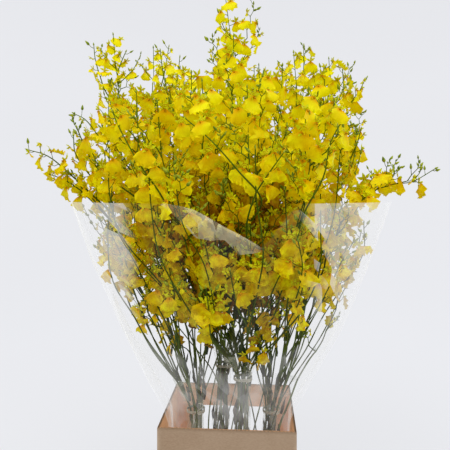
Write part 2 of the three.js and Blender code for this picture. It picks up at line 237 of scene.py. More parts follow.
def stalk_route(number, slot, bunch, ring_angle):
    """The stations of a stalk, from its cut end on the carton's floor to its tip."""

    def turned(share):
        return None if ring_angle is None else ring_angle - share * FLOOR_TWIST

    between = [(foot + tie) / 2 for foot, tie in zip(bunch.foot, bunch.tie)]
    tie = ring_point(bunch.tie, RING_AT_TIE, ring_angle, bunch.tie_z)
    lower = [
        ring_point(bunch.foot, RING_ON_FLOOR, turned(1), FLOOR_Z),
        ring_point(between, RING_HALFWAY, turned(0.5), bunch.tie_z * HALFWAY_UP),
        tie,
    ]
    if number == ARCHING_SPRAY:
        return Route([*lower, *ARCH_ROUTE])
    tip = TIP_HEIGHTS[number]
    heights = [bunch.tie_z + step * (CROWN_Z - bunch.tie_z) for step in OPENING_STEPS]
    heights += [UPPER_Z, tip] if tip > UPPER_Z + TALLER_BY else [tip]
    lean_x, lean_y = TIP_LEANS.get(number, (0, 0))
    upper = []
    for z in heights:
        share = opened(bunch.tie_z, z)
        lean = 1 if z == tip else UPPER_LEAN_SHARE if z == UPPER_Z else 0
        x = tie[0] + (slot.x - tie[0]) * share + lean * lean_x
        y = tie[1] + (slot.y - tie[1]) * share + lean * lean_y
        upper.append(swayed(x, y, z))
    return Route([*lower, *upper])


def planned_sprays():
    """Every bunched spray, with the node it stands for."""
    slots, sprays = crown_slots(), []
    for b, bunch in enumerate(BUNCHES):
        members = slots[b * BUNCH_SIZE : (b + 1) * BUNCH_SIZE]
        angles = ring_angles(members)
        for j, slot in enumerate(members):
            number = b * BUNCH_SIZE + j
            route = stalk_route(number, slot, bunch, angles[slot])
            sprays.append(Spray(f"spray_{bunch.name}_{j + 1}", number, route, slot))
    return sprays


# ---------------------------------------------------------------- the sleeve's shape
def sleeve_values(z):
    """Half-widths along X and Y, and the superellipse's power, at height z."""
    z = min(max(z, SLEEVE_FOOT), SLEEVE_RIM)
    for low, high in zip(SLEEVE, SLEEVE[1:]):
        if z <= high.z:
            share = (z - low.z) / (high.z - low.z)
            return [a + (b - a) * share for a, b in zip(low[1:], high[1:])]
    raise ValueError(f"no sleeve at height {z}")


def sleeve_radius(angle, z):
    """The plain cone's radius at this angle and height."""
    x, y, power = sleeve_values(z)
    reach = abs(math.cos(angle) / x) ** power + abs(math.sin(angle) / y) ** power
    return reach ** (-1 / power)


def rim_drop(angle):
    """How far the film's edge dips at this angle."""
    at = (math.degrees(angle) + 90 + 180) % 360 - 180
    if not DIP_START < at < DIP_END:
        return 0
    if at < DIP_LOWEST:
        return DIP_DEPTH * (at - DIP_START) / (DIP_LOWEST - DIP_START)
    return DIP_DEPTH * (DIP_END - at) / (DIP_END - DIP_LOWEST)


def dipped(angle, height):
    """The height of the film at this angle that would be `height` with no dip."""
    share = max(0, height - DIP_ABOVE) / (SLEEVE_RIM - DIP_ABOVE)
    return height - rim_drop(angle) * share


def kept_inside(point, margin):
    """The point, drawn in towards the axis if it would come through the film."""
    angle = math.atan2(point.y, point.x)
    radius = math.hypot(point.x, point.y)
    room = sleeve_radius(angle, point.z) - margin
    room += max(0, point.z - SLEEVE_RIM) / OVER_RIM * margin * 2
    if point.z < SLEEVE_FOOT or point.z > SLEEVE_RIM + OVER_RIM or radius <= room:
        return point
    return Vector((point.x * room / radius, point.y * room / radius, point.z))


# ---------------------------------------------------------------- settings
def colour(name, description, red, green, blue):
    """A colour setting, given as it looks on screen, from 0 to 255."""
    return FloatVectorProperty(
        name=name, description=description, size=4, subtype="COLOR", min=0, max=1,
        default=seen(red, green, blue),
    )


def seen(red, green, blue):
    """A linear colour from screen values of 0 to 255."""
    channels = (c / 255 for c in (red, green, blue))
    return (*((c / 12.92 if c < 0.0405 else ((c + 0.055) / 1.055) ** 2.4) for c in channels), 1)


def length(name, description, millimetres):
    """A size setting."""
    return FloatProperty(
        name=name, description=description, default=millimetres * MM, unit="LENGTH", precision=5
    )


class OrchidSizes(bpy.types.PropertyGroup):
    """Sizes of what grows on a spray"""

    lip_width: length("Lip width", "Across the lobes of an open flower's lip", 34)
    lip_length: length("Lip length", "From the claw to the ends of the lobes", 26)
    tepal_length: length("Tepal length", "Of the petals and sepals behind the lip", 11.5)
    bud_length: length("Bud length", "Of a bud about to open", 11)
    pedicel_length: length("Pedicel length", "From a stem to its flower", 17)
    internode: length("Internode", "Between two flowers on a side branch", 16)
    stalk_foot: length("Stalk foot", "Radius of a stalk at its cut end", 1.8)
    stalk_tip: length("Stalk tip", "Radius of a stalk at its tip", 0.75)


class OrchidColours(bpy.types.PropertyGroup):
    """Colours of what grows on a spray"""

    lip: colour("Lip", "Main colour of the lip", 220, 216, 4)
    lip_gold: colour("Lip gold", "Warmer patches of the lip", 212, 184, 0)
    lip_throat: colour("Lip throat", "The lip beside its callus", 206, 142, 0)
    # Painted shade: the colour that lips inside the bunch and low on it are darkened towards.
    lip_painted_shade: colour("Old lip", "The lips of the oldest flowers, low down and inside", 168, 112, 0)
    tepal: colour("Tepal", "Petals and sepals", 198, 204, 8)
    tepal_bar: colour("Tepal bars", "Bars across petals and sepals", 176, 118, 4)
    callus: colour("Callus", "The raised callus at the lip's claw", 206, 158, 0)
    stalk: colour("Stalk", "Upper stalks", 52, 76, 0)
    stalk_old: colour("Old stalk", "Stalks near their cut ends", 84, 92, 42)
    bud: colour("Bud", "Closed buds", 108, 134, 22)
    sheath: colour("Sheath", "Dry sheaths on the lower stalks", 92, 70, 40)


class PackingLook(bpy.types.PropertyGroup):
    """The carton, the film and the ties"""

    kraft: colour("Kraft", "The carton's outer liner", 178, 152, 127)
    kraft_inside: colour("Inner liner", "The carton's inner liner", 248, 190, 138)
    flute_pitch: length("Flute pitch", "Between two flutes of the board", 6.6)
    # The film's haze glows with this tint: painted light.
    film: colour("Film", "The film's own tint", 242, 243, 244)
    haze: FloatProperty(
        name="Haze", description="How much the film's side panels veil what is behind them",
        default=0.6, min=0, max=1,
    )
    # Painted light and shade: the cuff's facets are tinted between these lit and shaded colours.
    cuff: colour("Cuff", "The paler facets of the sleeve's cuff", 230, 222, 180)
    cuff_shaded_facets: colour("Cuff folds", "The deeper facets of the sleeve's cuff", 172, 164, 142)
    wrap: colour("Wrap", "The film drawn round each bunch's stalks", 196, 200, 184)
    tie: colour("Tie", "The elastic round each bunch", 206, 204, 190)


# ---------------------------------------------------------------- shader nodes
class Wire:
    """What a node puts out. A sum with it adds Math nodes to its tree."""

    def __init__(self, socket):
        self.socket, self.tree = socket, socket.id_data

    def maths(self, operation, *others):
        return wired(self.tree, "Math", 0, {"operation": operation}, self, *others)

    def __add__(self, other):
        return self.maths("ADD", other)

    def __sub__(self, other):
        return self.maths("SUBTRACT", other)

    def __mul__(self, other):
        return self.maths("MULTIPLY", other)

    def __truediv__(self, other):
        return self.maths("DIVIDE", other)

    def __abs__(self):
        return self.maths("ABSOLUTE")

    def clamped(self):
        return wired(self.tree, "Clamp", 0, {}, self)

    def spread(self, low, high, to_low=0.0, to_high=1.0):
        """The value, stretched from low..high to to_low..to_high with soft ends."""
        soft = {"interpolation_type": "SMOOTHSTEP"}
        return wired(self.tree, "MapRange", 0, soft, self, low, high, to_low, to_high)


def feed(socket, value):
    """Gives an input a plain value, or links it to what a node puts out."""
    if isinstance(value, Wire):
        value.tree.links.new(value.socket, socket)
    else:
        socket.default_value = value


def wired(tree, kind, output, settings, *values, **inputs):
    """Adds a node, feeds its inputs in order or by name, and gives one of its outputs."""
    node = tree.nodes.new("ShaderNode" + kind)
    for name, value in settings.items():
        setattr(node, name, value)
    for socket, value in zip(node.inputs, values):
        feed(socket, value)
    for name, value in inputs.items():
        feed(node.inputs[name], value)
    return Wire(node.outputs[output])


def blend(factor, low, high):
    """The colours low and high, mixed by the factor."""
    node = factor.tree.nodes.new("ShaderNodeMix")
    node.data_type = "RGBA"
    for i, value in ((0, factor), (6, low), (7, high)):
        feed(node.inputs[i], value)
    return Wire(node.outputs[2])


def axes(tree, kind, output):
    """The coordinates that a node of this kind puts out, axis by axis."""
    vector = wired(tree, kind, output, {})
    apart = wired(tree, "SeparateXYZ", 0, {}, vector).socket.node
    return [Wire(axis) for axis in apart.outputs]


def plane(across, up):
    """A place to read a pattern at, from two measures."""
    return wired(up.tree, "CombineXYZ", 0, {}, across, up)


def start_group(name, **inputs):
    """A node group that will put out a mask, and a wire for each input (its name=its type)."""
    group = bpy.data.node_groups.new(name, "ShaderNodeTree")
    for socket, kind in inputs.items():
        group.interface.new_socket(socket, in_out="INPUT", socket_type="NodeSocket" + kind)
    group.interface.new_socket("Mask", in_out="OUTPUT", socket_type="NodeSocketFloat")
    given = group.nodes.new("NodeGroupInput")
    return (group, *(Wire(given.outputs[socket]) for socket in inputs))


def end_group(mask):
    feed(mask.tree.nodes.new("NodeGroupOutput").inputs["Mask"], mask)


def noise_mask(place, contrast, **settings):
    """Noise read at this place, pushed apart from its middle."""
    noise = wired(place.tree, "TexNoise", "Fac", {}, Vector=place, **settings)
    end_group(((noise - 0.5) * contrast + 0.5).clamped())


def make_groups():
    """Makes the masks that several looks share.

    Patches are soft. Fibres run along one axis. Facets are flat angular cells that each have
    their own value, as creased film has.
    """
    group, scale, contrast = start_group("Patches", Scale="Float", Contrast="Float")
    noise_mask(wired(group, "TexCoord", "Object", {}), contrast, Scale=scale, Detail=3.0)
    group, scale, sharpness = start_group("Fibres", Scale="Vector", Sharpness="Float")
    place = wired(group, "TexCoord", "Object", {})
    stretched = wired(group, "VectorMath", 0, {"operation": "MULTIPLY"}, place, scale)
    noise_mask(stretched, sharpness, Scale=1.0, Detail=4.0)
    group, place = start_group("Facets", Place="Vector")
    cells = wired(group, "TexVoronoi", "Color", {}, Vector=place, Scale=1.0)
    end_group(wired(group, "SeparateColor", "Red", {}, cells))


class Look:
    """A material in the making."""

    def __init__(self, name, **sockets):
        self.material = bpy.data.materials.new(name)
        self.material.use_nodes = True
        self.tree = self.material.node_tree
        self.set(**sockets)

    def set(self, **sockets):
        """Feeds the shader's sockets, named with _ for a space."""
        shader = self.tree.nodes["Principled BSDF"]
        for name, value in sockets.items():
            feed(shader.inputs[name.replace("_", " ")], value)

    def place(self):
        """Where a point lies, along X, Y and Z in metres."""
        return axes(self.tree, "TexCoord", "Object")

    def uv(self):
        return axes(self.tree, "UVMap", "UV")

    def mask(self, group, **inputs):
        """A shared mask, placed with this material's own values."""
        placed = self.tree.nodes.new("ShaderNodeGroup")
        placed.node_tree = bpy.data.node_groups[group]
        for name, value in inputs.items():
            feed(placed.inputs[name], value)
        return Wire(placed.outputs["Mask"])

    def patches(self, scale, contrast):
        return self.mask("Patches", Scale=scale, Contrast=contrast)

    def fibres(self, scale, sharpness):
        return self.mask("Fibres", Scale=scale, Sharpness=sharpness)

    def facets(self, across, up):
        return self.mask("Facets", Place=plane(across, up))

    def finish(self, relief, depth, strength=0.6, **sockets):
        """Sets the sockets and the relief, `depth` mm deep, and gives the finished material."""
        bump = {"Height": relief, "Strength": strength, "Distance": depth * MM}
        self.set(Normal=wired(self.tree, "Bump", "Normal", {}, **bump), **sockets)
        return self.material


# ---------------------------------------------------------------- materials
def lip_material(colours):
    """Waxy yellow petal with golden patches, stronger lower down, a throat and veins. Painted shade
    darkens the lips inside the bunch and in patches low on it, and the lip glows with its own colour,
    painted light, except inside the bunch and low in its middle.
    """
    look = Look("orchid_lip", Roughness=0.6, Emission_Strength=0.32, Specular_IOR_Level=0.06)
    across, along, _ = look.uv()
    x, y, height = look.place()
    patches = look.patches(26.0, 3.2)
    golden = patches * height.spread(0.92, 0.72, 0.3, 1.0)
    yellow = blend(golden, colours.lip, colours.lip_gold)
    # Painted shade: lips near the axis, and in patches lower down, are mixed towards the painted
    # shade colour.
    from_axis = (x * x + y * y).maths("SQRT") / height
    inner = from_axis.spread(0.4, 0.2) * height.spread(0.74, 0.58)
    mottled = look.patches(120.0, 4.0) * height.spread(0.8, 0.5, 0.08, 0.56)
    aged_and_shaded = blend(inner * 0.74 + mottled, yellow, colours.lip_painted_shade)
    petal = blend(along.spread(0.44, 0.04), aged_and_shaded, colours.lip_throat)
    wave = (across * 64.0).maths("SINE")
    veined = blend(wave.spread(0.2, 1.0, 0.0, 0.24), petal, colours.lip_gold)
    # Painted light: the lip's glow stands in for light through the petal, and is taken away as
    # painted shade inside the bunch and low in its middle.
    sideways = abs(x) / height
    low = height.spread(0.64, 0.5, 0.0, 0.65) * sideways.spread(0.24, 0.38, 1.0, 0.1)
    glow = blend(inner.maths("MAXIMUM", low), veined, (0.0, 0.0, 0.0, 1.0))
    rough = patches.spread(0.0, 1.0, 0.42, 0.58)
    return look.finish(wave, 0.25, 0.3, Base_Color=veined, Emission_Color=glow, Roughness=rough)


def tepal_material(colours):
    """Greenish petals and sepals, barred with brown towards their base, glowing faintly with that
    colour: painted light through the petal.
    """
    look = Look("orchid_tepal", Roughness=0.6, Emission_Strength=0.12, Specular_IOR_Level=0.06)
    _, along, _ = look.uv()
    patches = look.patches(90.0, 3.0)
    wave = (along * 30.0 + patches * 3.0).maths("SINE")
    bars = wave.spread(0.1, 0.7) * along.spread(0.75, 0.35)
    barred = blend(bars, colours.tepal, colours.tepal_bar)
    rough = patches.spread(0.0, 1.0, 0.42, 0.6)
    return look.finish(patches, 0.3, Base_Color=barred, Emission_Color=barred, Roughness=rough)


def callus_material(colours):
    """The orange-brown callus, freckled."""
    look = Look("orchid_callus", Roughness=0.6, Specular_IOR_Level=0.06)
    freckles = look.patches(700.0, 5.0)
    return look.finish(freckles, 0.2, Base_Color=blend(freckles, colours.callus, colours.tepal_bar))


def stalk_material(colours):
    """Olive stalks with brown stretches and fine ridges along them. They turn dark brown at their cut
    ends, partly the cut itself and partly painted shade inside the carton, and paler higher up, which
    is painted light.
    """
    look = Look("orchid_stalk", Roughness=0.6, Specular_IOR_Level=0.03)
    _, _, height = look.place()
    ridges = look.fibres((900.0, 900.0, 30.0), 3.0)
    patches = look.patches(38.0, 3.5)
    age = (patches * 0.25 + height.spread(0.52, 0.18)).clamped()
    aged_and_shaded = blend(age, colours.stalk, colours.stalk_old)
    # Dark brown foot: partly the cut ends, partly painted shade inside the carton.
    foot = height.spread(0.31, 0.24) * patches.spread(0.35, 0.65, 0.1, 1.0)
    browned_and_shaded = blend(foot, aged_and_shaded, seen(54, 42, 26))
    browned_and_shaded = blend(patches.spread(0.5, 0.75, 0.0, 0.7), browned_and_shaded, seen(58, 44, 10))
    # Painted light: paler higher up; the ridges are paler too.
    paler = ridges * 0.35 + height.spread(0.58, 0.8, 0.0, 0.4)
    lit = blend(paler, browned_and_shaded, seen(122, 146, 20))
    return look.finish(ridges, 0.3, Base_Color=lit, Roughness=ridges.spread(0.0, 1.0, 0.36, 0.6))


def bud_material(colours):
    """Green buds, flushed yellow and brown."""
    look = Look("orchid_bud", Roughness=0.45, Specular_IOR_Level=0.15)
    flush = look.patches(140.0, 4.0)
    _, _, height = look.place()
    warm = blend(flush, colours.bud, seen(168, 176, 36))
    return look.finish(flush, 0.3, Base_Color=warm, Roughness=height.spread(0.3, 1.0, 0.5, 0.4))


def sheath_material(colours):
    """Papery sheaths, dry and brown low down and olive higher up."""
    look = Look("orchid_sheath", Roughness=0.75, Specular_IOR_Level=0.15)
    _, _, height = look.place()
    fibres = look.fibres((700.0, 700.0, 24.0), 4.0)
    dry = blend(fibres, colours.sheath, seen(52, 34, 16))
    papery = blend(height.spread(0.25, 0.32), dry, colours.stalk)
    return look.finish(fibres, 0.5, Base_Color=papery, Roughness=fibres.spread(0.0, 1.0, 0.62, 0.85))


def kraft_material(name, liner, flute_pitch, glow=0.0):
    """Kraft liner: fibres, faint lines over the flutes, and scuffed corners. It glows with its own
    colour by glow, which is painted light.
    """
    look = Look(name, Roughness=0.82, Specular_IOR_Level=0.25, Emission_Strength=glow)
    x, y, height = look.place()
    fibres = look.fibres((260.0, 260.0, 900.0), 2.4)
    patches = look.patches(18.0, 2.2)
    toned = blend(patches * 0.4, liner, seen(150, 118, 88))
    flecked = blend(fibres * 0.3, toned, seen(216, 192, 166))
    corner = abs(x).spread(0.112, 0.12) * abs(y).spread(0.098, 0.105)
    worn = blend(corner * patches.spread(0.35, 0.8, 0.1, 0.6), flecked, seen(206, 184, 160))
    board = blend(height.spread(0.214, 0.22, 0.0, 0.35), worn, seen(128, 98, 68))
    rough = fibres.spread(0.0, 1.0, 0.74, 0.9)
    relief = ((x + y) * (TAU / flute_pitch)).maths("SINE") * 0.35 + fibres
    return look.finish(relief, 0.22, 0.5, Base_Color=board, Emission_Color=board, Roughness=rough)


def creases(look, across, up, across_count, up_count):
    """Facets between creases that run aslant, so many of them across and up."""
    along = up * (across_count * 0.5) + across * across_count
    rise = across * (up_count * -0.6) + up * up_count
    return look.facets(along, rise)


def film_material(name, tint, haze):
    """Clear film with hazy facets: a strip on each side of its front, and all round its foot. The
    haze glows with the film's tint, which is painted light.

    The film's UV map runs across the ply and up it.
    """
    look = Look(
        name, Base_Color=seen(150, 150, 148), Emission_Color=tint, Emission_Strength=0.7,
        Roughness=0.14, Specular_IOR_Level=0.25,
    )
    across, up, _ = look.uv()
    facets = creases(look, across, up, 34.0, 9.0)
    broad = creases(look, across, up, 16.0, 4.0)
    streaks = look.fibres((26.0, 26.0, 2.4), 4.5)
    aside = abs(across - 0.5)
    shifted = (facets - 0.5) * 0.09 + (up - 1.0) * 0.25 + aside
    panel = shifted.spread(0.135, 0.19) * aside.spread(0.48, 0.3, 0.05, 1.0)
    strength = (broad * 0.45 + facets * 0.55) * 0.5 + 0.38
    high = panel * up.spread(0.3, 0.62, 0.3, 1.0) * strength
    hem = up - aside * 0.35
    foot = hem.spread(0.45, 0.41) * aside.spread(0.1, 0.28, 0.5, 1.0)
    foot = foot * across.spread(0.6, 0.75, 1.0, 0.55) * up.spread(0.16, 0.28, 0.45, 1.0)
    # At the foot the patches of haze are partly creased film and partly painted reflections.
    low = foot * (streaks * 0.42 + facets.spread(0.35, 0.9) * 0.42 + 0.16)
    facing = wired(look.tree, "LayerWeight", "Facing", {}, Blend=0.25)
    clear = facing.maths("POWER", 3.0) * 0.05 + streaks * 0.02
    alpha = (high.maths("MAXIMUM", low) * haze + clear).clamped()
    return look.finish(streaks, 1.2, 0.4, Alpha=alpha, Roughness=streaks.spread(0.0, 1.0, 0.1, 0.3))


def cuff_material(pale, deep):
    """The cuff's creased film: every facet has its own haze, and its own tint between a lit and a
    shaded colour, which is painted light and shade; the film also glows with that tint, painted
    light.
    """
    look = Look("sleeve_film_cuff", Roughness=0.16, Emission_Strength=0.25)
    across, up, _ = look.uv()
    along = up * 0.7 + across * 7.0 + 47.0
    rise = across * -1.5 + up * 0.9
    # Painted light and shade: each facet gets a tint between lit and shaded.
    lit_and_shaded_tint = blend(look.facets(rise, along), deep, pale)
    hazy = look.facets(along, rise).spread(0.1, 0.85, 0.14, 0.5) * across.spread(0.98, 0.86)
    streaks = look.fibres((60.0, 60.0, 60.0), 3.0)
    rough = streaks.spread(0.0, 1.0, 0.1, 0.3)
    return look.finish(
        streaks, 0.6, 0.4, Base_Color=lit_and_shaded_tint, Emission_Color=lit_and_shaded_tint, Alpha=hazy, Roughness=rough
    )


def wrap_material(tint):
    """Film drawn tight round a bunch: grey, glossy and pleated. It glows with its grey tint, painted
    light, and its brighter facet patches are painted glints.
    """
    look = Look(
        "bunch_film", Base_Color=tint, Emission_Color=tint, Emission_Strength=0.22, Roughness=0.2
    )
    pleats = look.fibres((160.0, 160.0, 14.0), 5.0)
    x, y, height = look.place()
    facets = look.facets(y * 30.0 + x * 70.0, height * 34.0)
    # Painted glints: the facet patches; the pleats add haze.
    hazy = facets.spread(0.55, 0.9, 0.0, 0.26) + pleats.spread(0.1, 0.9, 0.02, 0.14)
    return look.finish(pleats, 1.0, 0.7, Alpha=hazy, Roughness=pleats.spread(0.0, 1.0, 0.12, 0.34))


def elastic_material(tint):
    """Elastic, dusty in patches."""
    look = Look("tie_elastic", Roughness=0.55)
    dust = look.patches(260.0, 3.0)
    dusty = blend(dust, tint, seen(170, 164, 140))
    return look.finish(dust, 0.2, Base_Color=dusty, Roughness=dust.spread(0.0, 1.0, 0.45, 0.7))


# ---------------------------------------------------------------- modelling by hand
def deselect():
    bpy.ops.object.select_all(action="DESELECT")


def activate(obj):
    deselect()
    obj.select_set(True)
    bpy.context.view_layer.objects.active = obj


def added(name):
    """The primitive that was just added, named."""
    obj = bpy.context.object
    obj.name = obj.data.name = name
    return obj


def add_grid(name, columns, rows, at=(0, 0, 0)):
    """A flat grid, 1 m square, to be bent into its place."""
    cells = {"x_subdivisions": columns, "y_subdivisions": rows}
    bpy.ops.mesh.primitive_grid_add(size=1, location=at, **cells)
    return added(name)


def add_block(name, middle, size):
    """A block with this middle and size, in metres."""
    bpy.ops.mesh.primitive_cube_add(size=1, location=middle, scale=size)
    block = added(name)
    settle(block)
    return block


def edit_by(kind="VERT"):
    """Goes into edit mode, to select vertices or edges."""
    bpy.ops.object.mode_set(mode="EDIT")
    bpy.ops.mesh.select_mode(type=kind)


def leave_edit():
    bpy.ops.object.mode_set(mode="OBJECT")


def merge_doubles():
    """Merges the vertices of the active piece that lie in the same place."""
    bpy.ops.object.mode_set(mode="EDIT")
    bpy.ops.mesh.select_all(action="SELECT")
    bpy.ops.mesh.remove_doubles(threshold=1e-6)
    leave_edit()


def smooth_below(degrees):
    """Smooth shading over folds that are flatter than this."""
    bpy.ops.object.shade_smooth_by_angle(angle=math.radians(degrees))


def turn_picked(degrees, axis, about):
    """In edit mode, turns what is selected."""
    angle = math.radians(degrees)
    bpy.ops.transform.rotate(value=angle, orient_axis=axis, center_override=about)


def size_picked(shares, about=(0, 0, 0)):
    """In edit mode, resizes what is selected."""
    bpy.ops.transform.resize(value=shares, center_override=about)


def pick(obj, test):
    """In edit mode, selects the vertices whose place passes the test, and what lies between."""
    cage = bmesh.from_edit_mesh(obj.data)
    for element in (*cage.verts, *cage.edges, *cage.faces):
        element.select = False
    for vertex in cage.verts:
        vertex.select = test(vertex.co)
    cage.select_flush(True)
    bmesh.update_edit_mesh(obj.data)


def pick_edges(obj, test):
    """In edit mode, selects the edges that pass the test and nothing else."""
    cage = bmesh.from_edit_mesh(obj.data)
    for edge in cage.edges:
        edge.select = test(edge)
    bmesh.update_edit_mesh(obj.data)


def apply_modifier(obj, kind, **settings):
    modifier = obj.modifiers.new(kind.title(), kind)
    for name, value in settings.items():
        setattr(modifier, name, value)
    activate(obj)
    bpy.ops.object.modifier_apply(modifier=modifier.name)


def joined(name, pieces):
    """The pieces as one object, named."""
    activate(pieces[0])
    for piece in pieces:
        piece.select_set(True)
    bpy.ops.object.join()
    return added(name)


def settle(obj):
    """Puts the object's place and turn into its mesh."""
    activate(obj)
    bpy.ops.object.transform_apply(location=True, rotation=True, scale=True)


def finish_piece(obj, slot, *nodes):
    """Settles the piece, says what it rides on and what it stands for. The slot is not used."""
    settle(obj)
    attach(obj, "root")
    if nodes:
        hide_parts(*nodes)
    return obj


# ---------------------------------------------------------------- flowers, buds and sheaths
LIP_ROWS = (0.08, 0.29, 0.56, 0.64, 0.58, 0.36)
# Of each of the five open flowers: its lip's ruffle in mm, and its cup and curl in degrees.
LIP_FORMS = ((2.2, 10, 9), (3.2, 4, 3), (1.8, 15, 13), (2.8, 7, -9), (3.6, -8, 8))
LIP_NOTCH, LIP_LOBE = 0.15, 0.07  # shares of the lip's length
RIM_SCALLOP = 0.93  # how far in every other rim vertex is drawn
FOLDED_LIP_ROWS, FOLDED_LIP_SIZE = (0.06, 0.2, 0.42, 0.3), 0.5
TEPAL_ROWS = (0.08, 0.23, 0.04)
# Each tepal's angle round the flower, and its size.
OPEN_TEPALS = ((0, 0.95), (62, 1.0), (-62, 1.0), (142, 0.8), (-142, 0.8))
HOODED_TEPALS, HOODED_SIZE = (0, 74, -74, 146, -146), 0.85
LIP_THICKNESS, FOLDED_LIP_THICKNESS, BLADE_THICKNESS = 0.7, 0.6, 0.5
SHEATH_ROWS = (0.16, 0.2, 0.13, 0.03)


def blade(name, columns, half_widths, reach, thickness, ruffle=0, cup=0, curl=0, unevenness=0.03):
    """A petal that grows along +Y from the origin and faces +Z, thick in the middle, thin at the rim.

    half_widths are given row by row as shares of reach. ruffle waves the rim. It and thickness
    are in mm. cup and curl, in degrees, bend the petal back across and along.
    """
    rows = len(half_widths) - 1
    petal = add_grid(name, columns, rows, (0, 0.5, 0))
    settle(petal)
    edit_by()
    for row, half_width in enumerate(half_widths):
        at = row / rows
        pick(petal, lambda co: abs(co.y - at) < 0.01)
        size_picked((2 * half_width, 1, 1), (0, at, 0))
    bpy.ops.mesh.select_all(action="SELECT")
    size_picked((reach, reach, reach))
    if ruffle:
        wave_rim(petal, reach, ruffle * MM)
    if cup:
        for side in (-1, 1):
            for share in (0.1, 0.45):
                line = side * share * max(half_widths) * reach
                pick(petal, lambda co: (co.x - line) * side > 1e-5)
                turn_picked(cup * side, "Y", (line, 0, 0))
    if curl:
        for row in range(1, rows):
            line = row / rows * reach
            pick(petal, lambda co: co.y > line + 1e-5)
            turn_picked(curl, "X", (0, line, 0))
    bpy.ops.mesh.select_all(action="SELECT")
    bpy.ops.transform.vertex_random(offset=unevenness * reach, seed=columns + rows)
    leave_edit()
    thicken_to_rim(petal, thickness)
    return petal


def wave_rim(petal, reach, height):
    """Moves every other vertex of the outer rim up and inwards, and the rest down."""
    cage = bmesh.from_edit_mesh(petal.data)
    rim = [v for v in cage.verts if v.is_boundary and v.co.y > 0.3 * reach]
    rim.sort(key=lambda v: math.atan2(v.co.x, v.co.y))
    for way in (0, 1):
        for vertex in cage.verts:
            vertex.select = vertex in rim[way::2]
        cage.select_flush(False)
        bmesh.update_edit_mesh(petal.data)
        bpy.ops.transform.translate(value=(0, 0, height if way else -height))
        if way:
            size_picked((RIM_SCALLOP, RIM_SCALLOP, 1), (0, 0.55 * reach, 0))


def thicken_to_rim(petal, thickness):
    """Gives the petal two sides that meet in a thin rim."""
    rim = {v for edge in rim_edges(petal.data) for v in edge}
    middle = petal.vertex_groups.new(name="middle")
    middle.add([v.index for v in petal.data.vertices if v.index not in rim], 1.0, "REPLACE")
    apply_modifier(
        petal, "SOLIDIFY", thickness=thickness * MM, offset=0, use_rim=False,
        vertex_group="middle", thickness_vertex_group=0,
    )
    petal.vertex_groups.clear()
    merge_doubles()
    smooth_below(48)


def rim_edges(mesh):
    """The edges that only one face has, each as its two vertices."""
    counts = {}
    for polygon in mesh.polygons:
        for key in polygon.edge_keys:
            counts[key] = counts.get(key, 0) + 1
    return [key for key, count in counts.items() if count == 1]


def lip(sizes, material, variant):
    """The fan-shaped lip, lobed at its end."""
    reach = sizes.lip_length
    petal = blade("lip", 6, LIP_ROWS, reach, LIP_THICKNESS, *LIP_FORMS[variant], 0.05)
    petal.data.transform(Matrix.Diagonal((sizes.lip_width / (2 * max(LIP_ROWS) * reach), 1, 1, 1)))
    far = max(v.co.y for v in petal.data.vertices)
    for vertex in petal.data.vertices:
        if vertex.co.y > far - 0.1 * reach:
            aside = abs(vertex.co.x) / (LIP_ROWS[-1] * reach)
            notch, lobe = max(0, 1 - 3 * aside), max(0, 2 * aside - 1)
            vertex.co.y -= reach * (LIP_NOTCH * notch + LIP_LOBE * lobe)
    petal.data.materials.append(material)
    return petal


def tepal(reach, curl, material):
    """A petal or sepal, curled forwards."""
    petal = blade("tepal", 2, TEPAL_ROWS, reach, BLADE_THICKNESS, curl=curl)
    petal.data.materials.append(material)
    return petal


def turned_blade(petal, roll, lean, forward=0.0):
    """Stands a blade up to face -Y, leans it forwards and rolls it round the flower's axis."""
    stand = Matrix.Rotation(math.radians(90), 4, "X")
    leant = Matrix.Rotation(math.radians(lean), 4, "X")
    rolled = Matrix.Rotation(math.radians(roll), 4, "Y")
    petal.data.transform(Matrix.Translation((0, -forward * MM, 0)) @ rolled @ leant @ stand)
    return petal


def open_flower(name, sizes, materials, variant):
    """An open flower that faces -Y, its pedicel's end at the origin and its lip hanging."""
    spin = random.Random(variant)
    hanging = lip(sizes, materials["lip"], variant)
    pieces = [turned_blade(hanging, 180, spin.uniform(-22, 2), forward=2.5)]
    for roll, size in OPEN_TEPALS:
        petal = tepal(sizes.tepal_length * size, -14, materials["tepal"])
        roll += spin.uniform(-9, 9)
        pieces.append(turned_blade(petal, roll, spin.uniform(-18, 16), forward=0.5))
    pieces.append(column_and_callus(materials))
    return joined(name, pieces)


def cone(name, sides, radii, depth, at, lean, material):
    """A cut-off cone, in millimetres, that leans forwards by so many degrees."""
    bpy.ops.mesh.primitive_cone_add(
        vertices=sides, radius1=radii[0] * MM, radius2=radii[1] * MM, depth=depth * MM,
        location=Vector(at) * MM, rotation=(math.radians(lean), 0, 0),
    )
    made = added(name)
    settle(made)
    made.data.materials.append(material)
    return made


def column_and_callus(materials):
    """The short column over the raised callus at the lip's claw."""
    pieces = [
        cone("callus", 6, (1.7, 0.8), 3, (0, -3.6, -3.2), 112, materials["callus"]),
        cone("column", 5, (1.1, 1.5), 5, (0, -3.0, 0.6), 74, materials["tepal"]),
    ]
    both = joined("column", pieces)
    smooth_below(60)
    return both


def young_flower(name, sizes, materials):
    """A flower just opening: tepals still hooded round a small folded lip."""
    reach = sizes.lip_length * FOLDED_LIP_SIZE
    folds = {"ruffle": 0.8, "cup": 26, "curl": 10}
    small = blade("lip", 4, FOLDED_LIP_ROWS, reach, FOLDED_LIP_THICKNESS, **folds)
    small.data.materials.append(materials["lip"])
    pieces = [turned_blade(small, 180, -34, forward=1.5)]
    for roll in HOODED_TEPALS:
        petal = tepal(sizes.tepal_length * HOODED_SIZE, -20, materials["tepal"])
        pieces.append(turned_blade(petal, roll, 38))
    return joined(name, pieces)


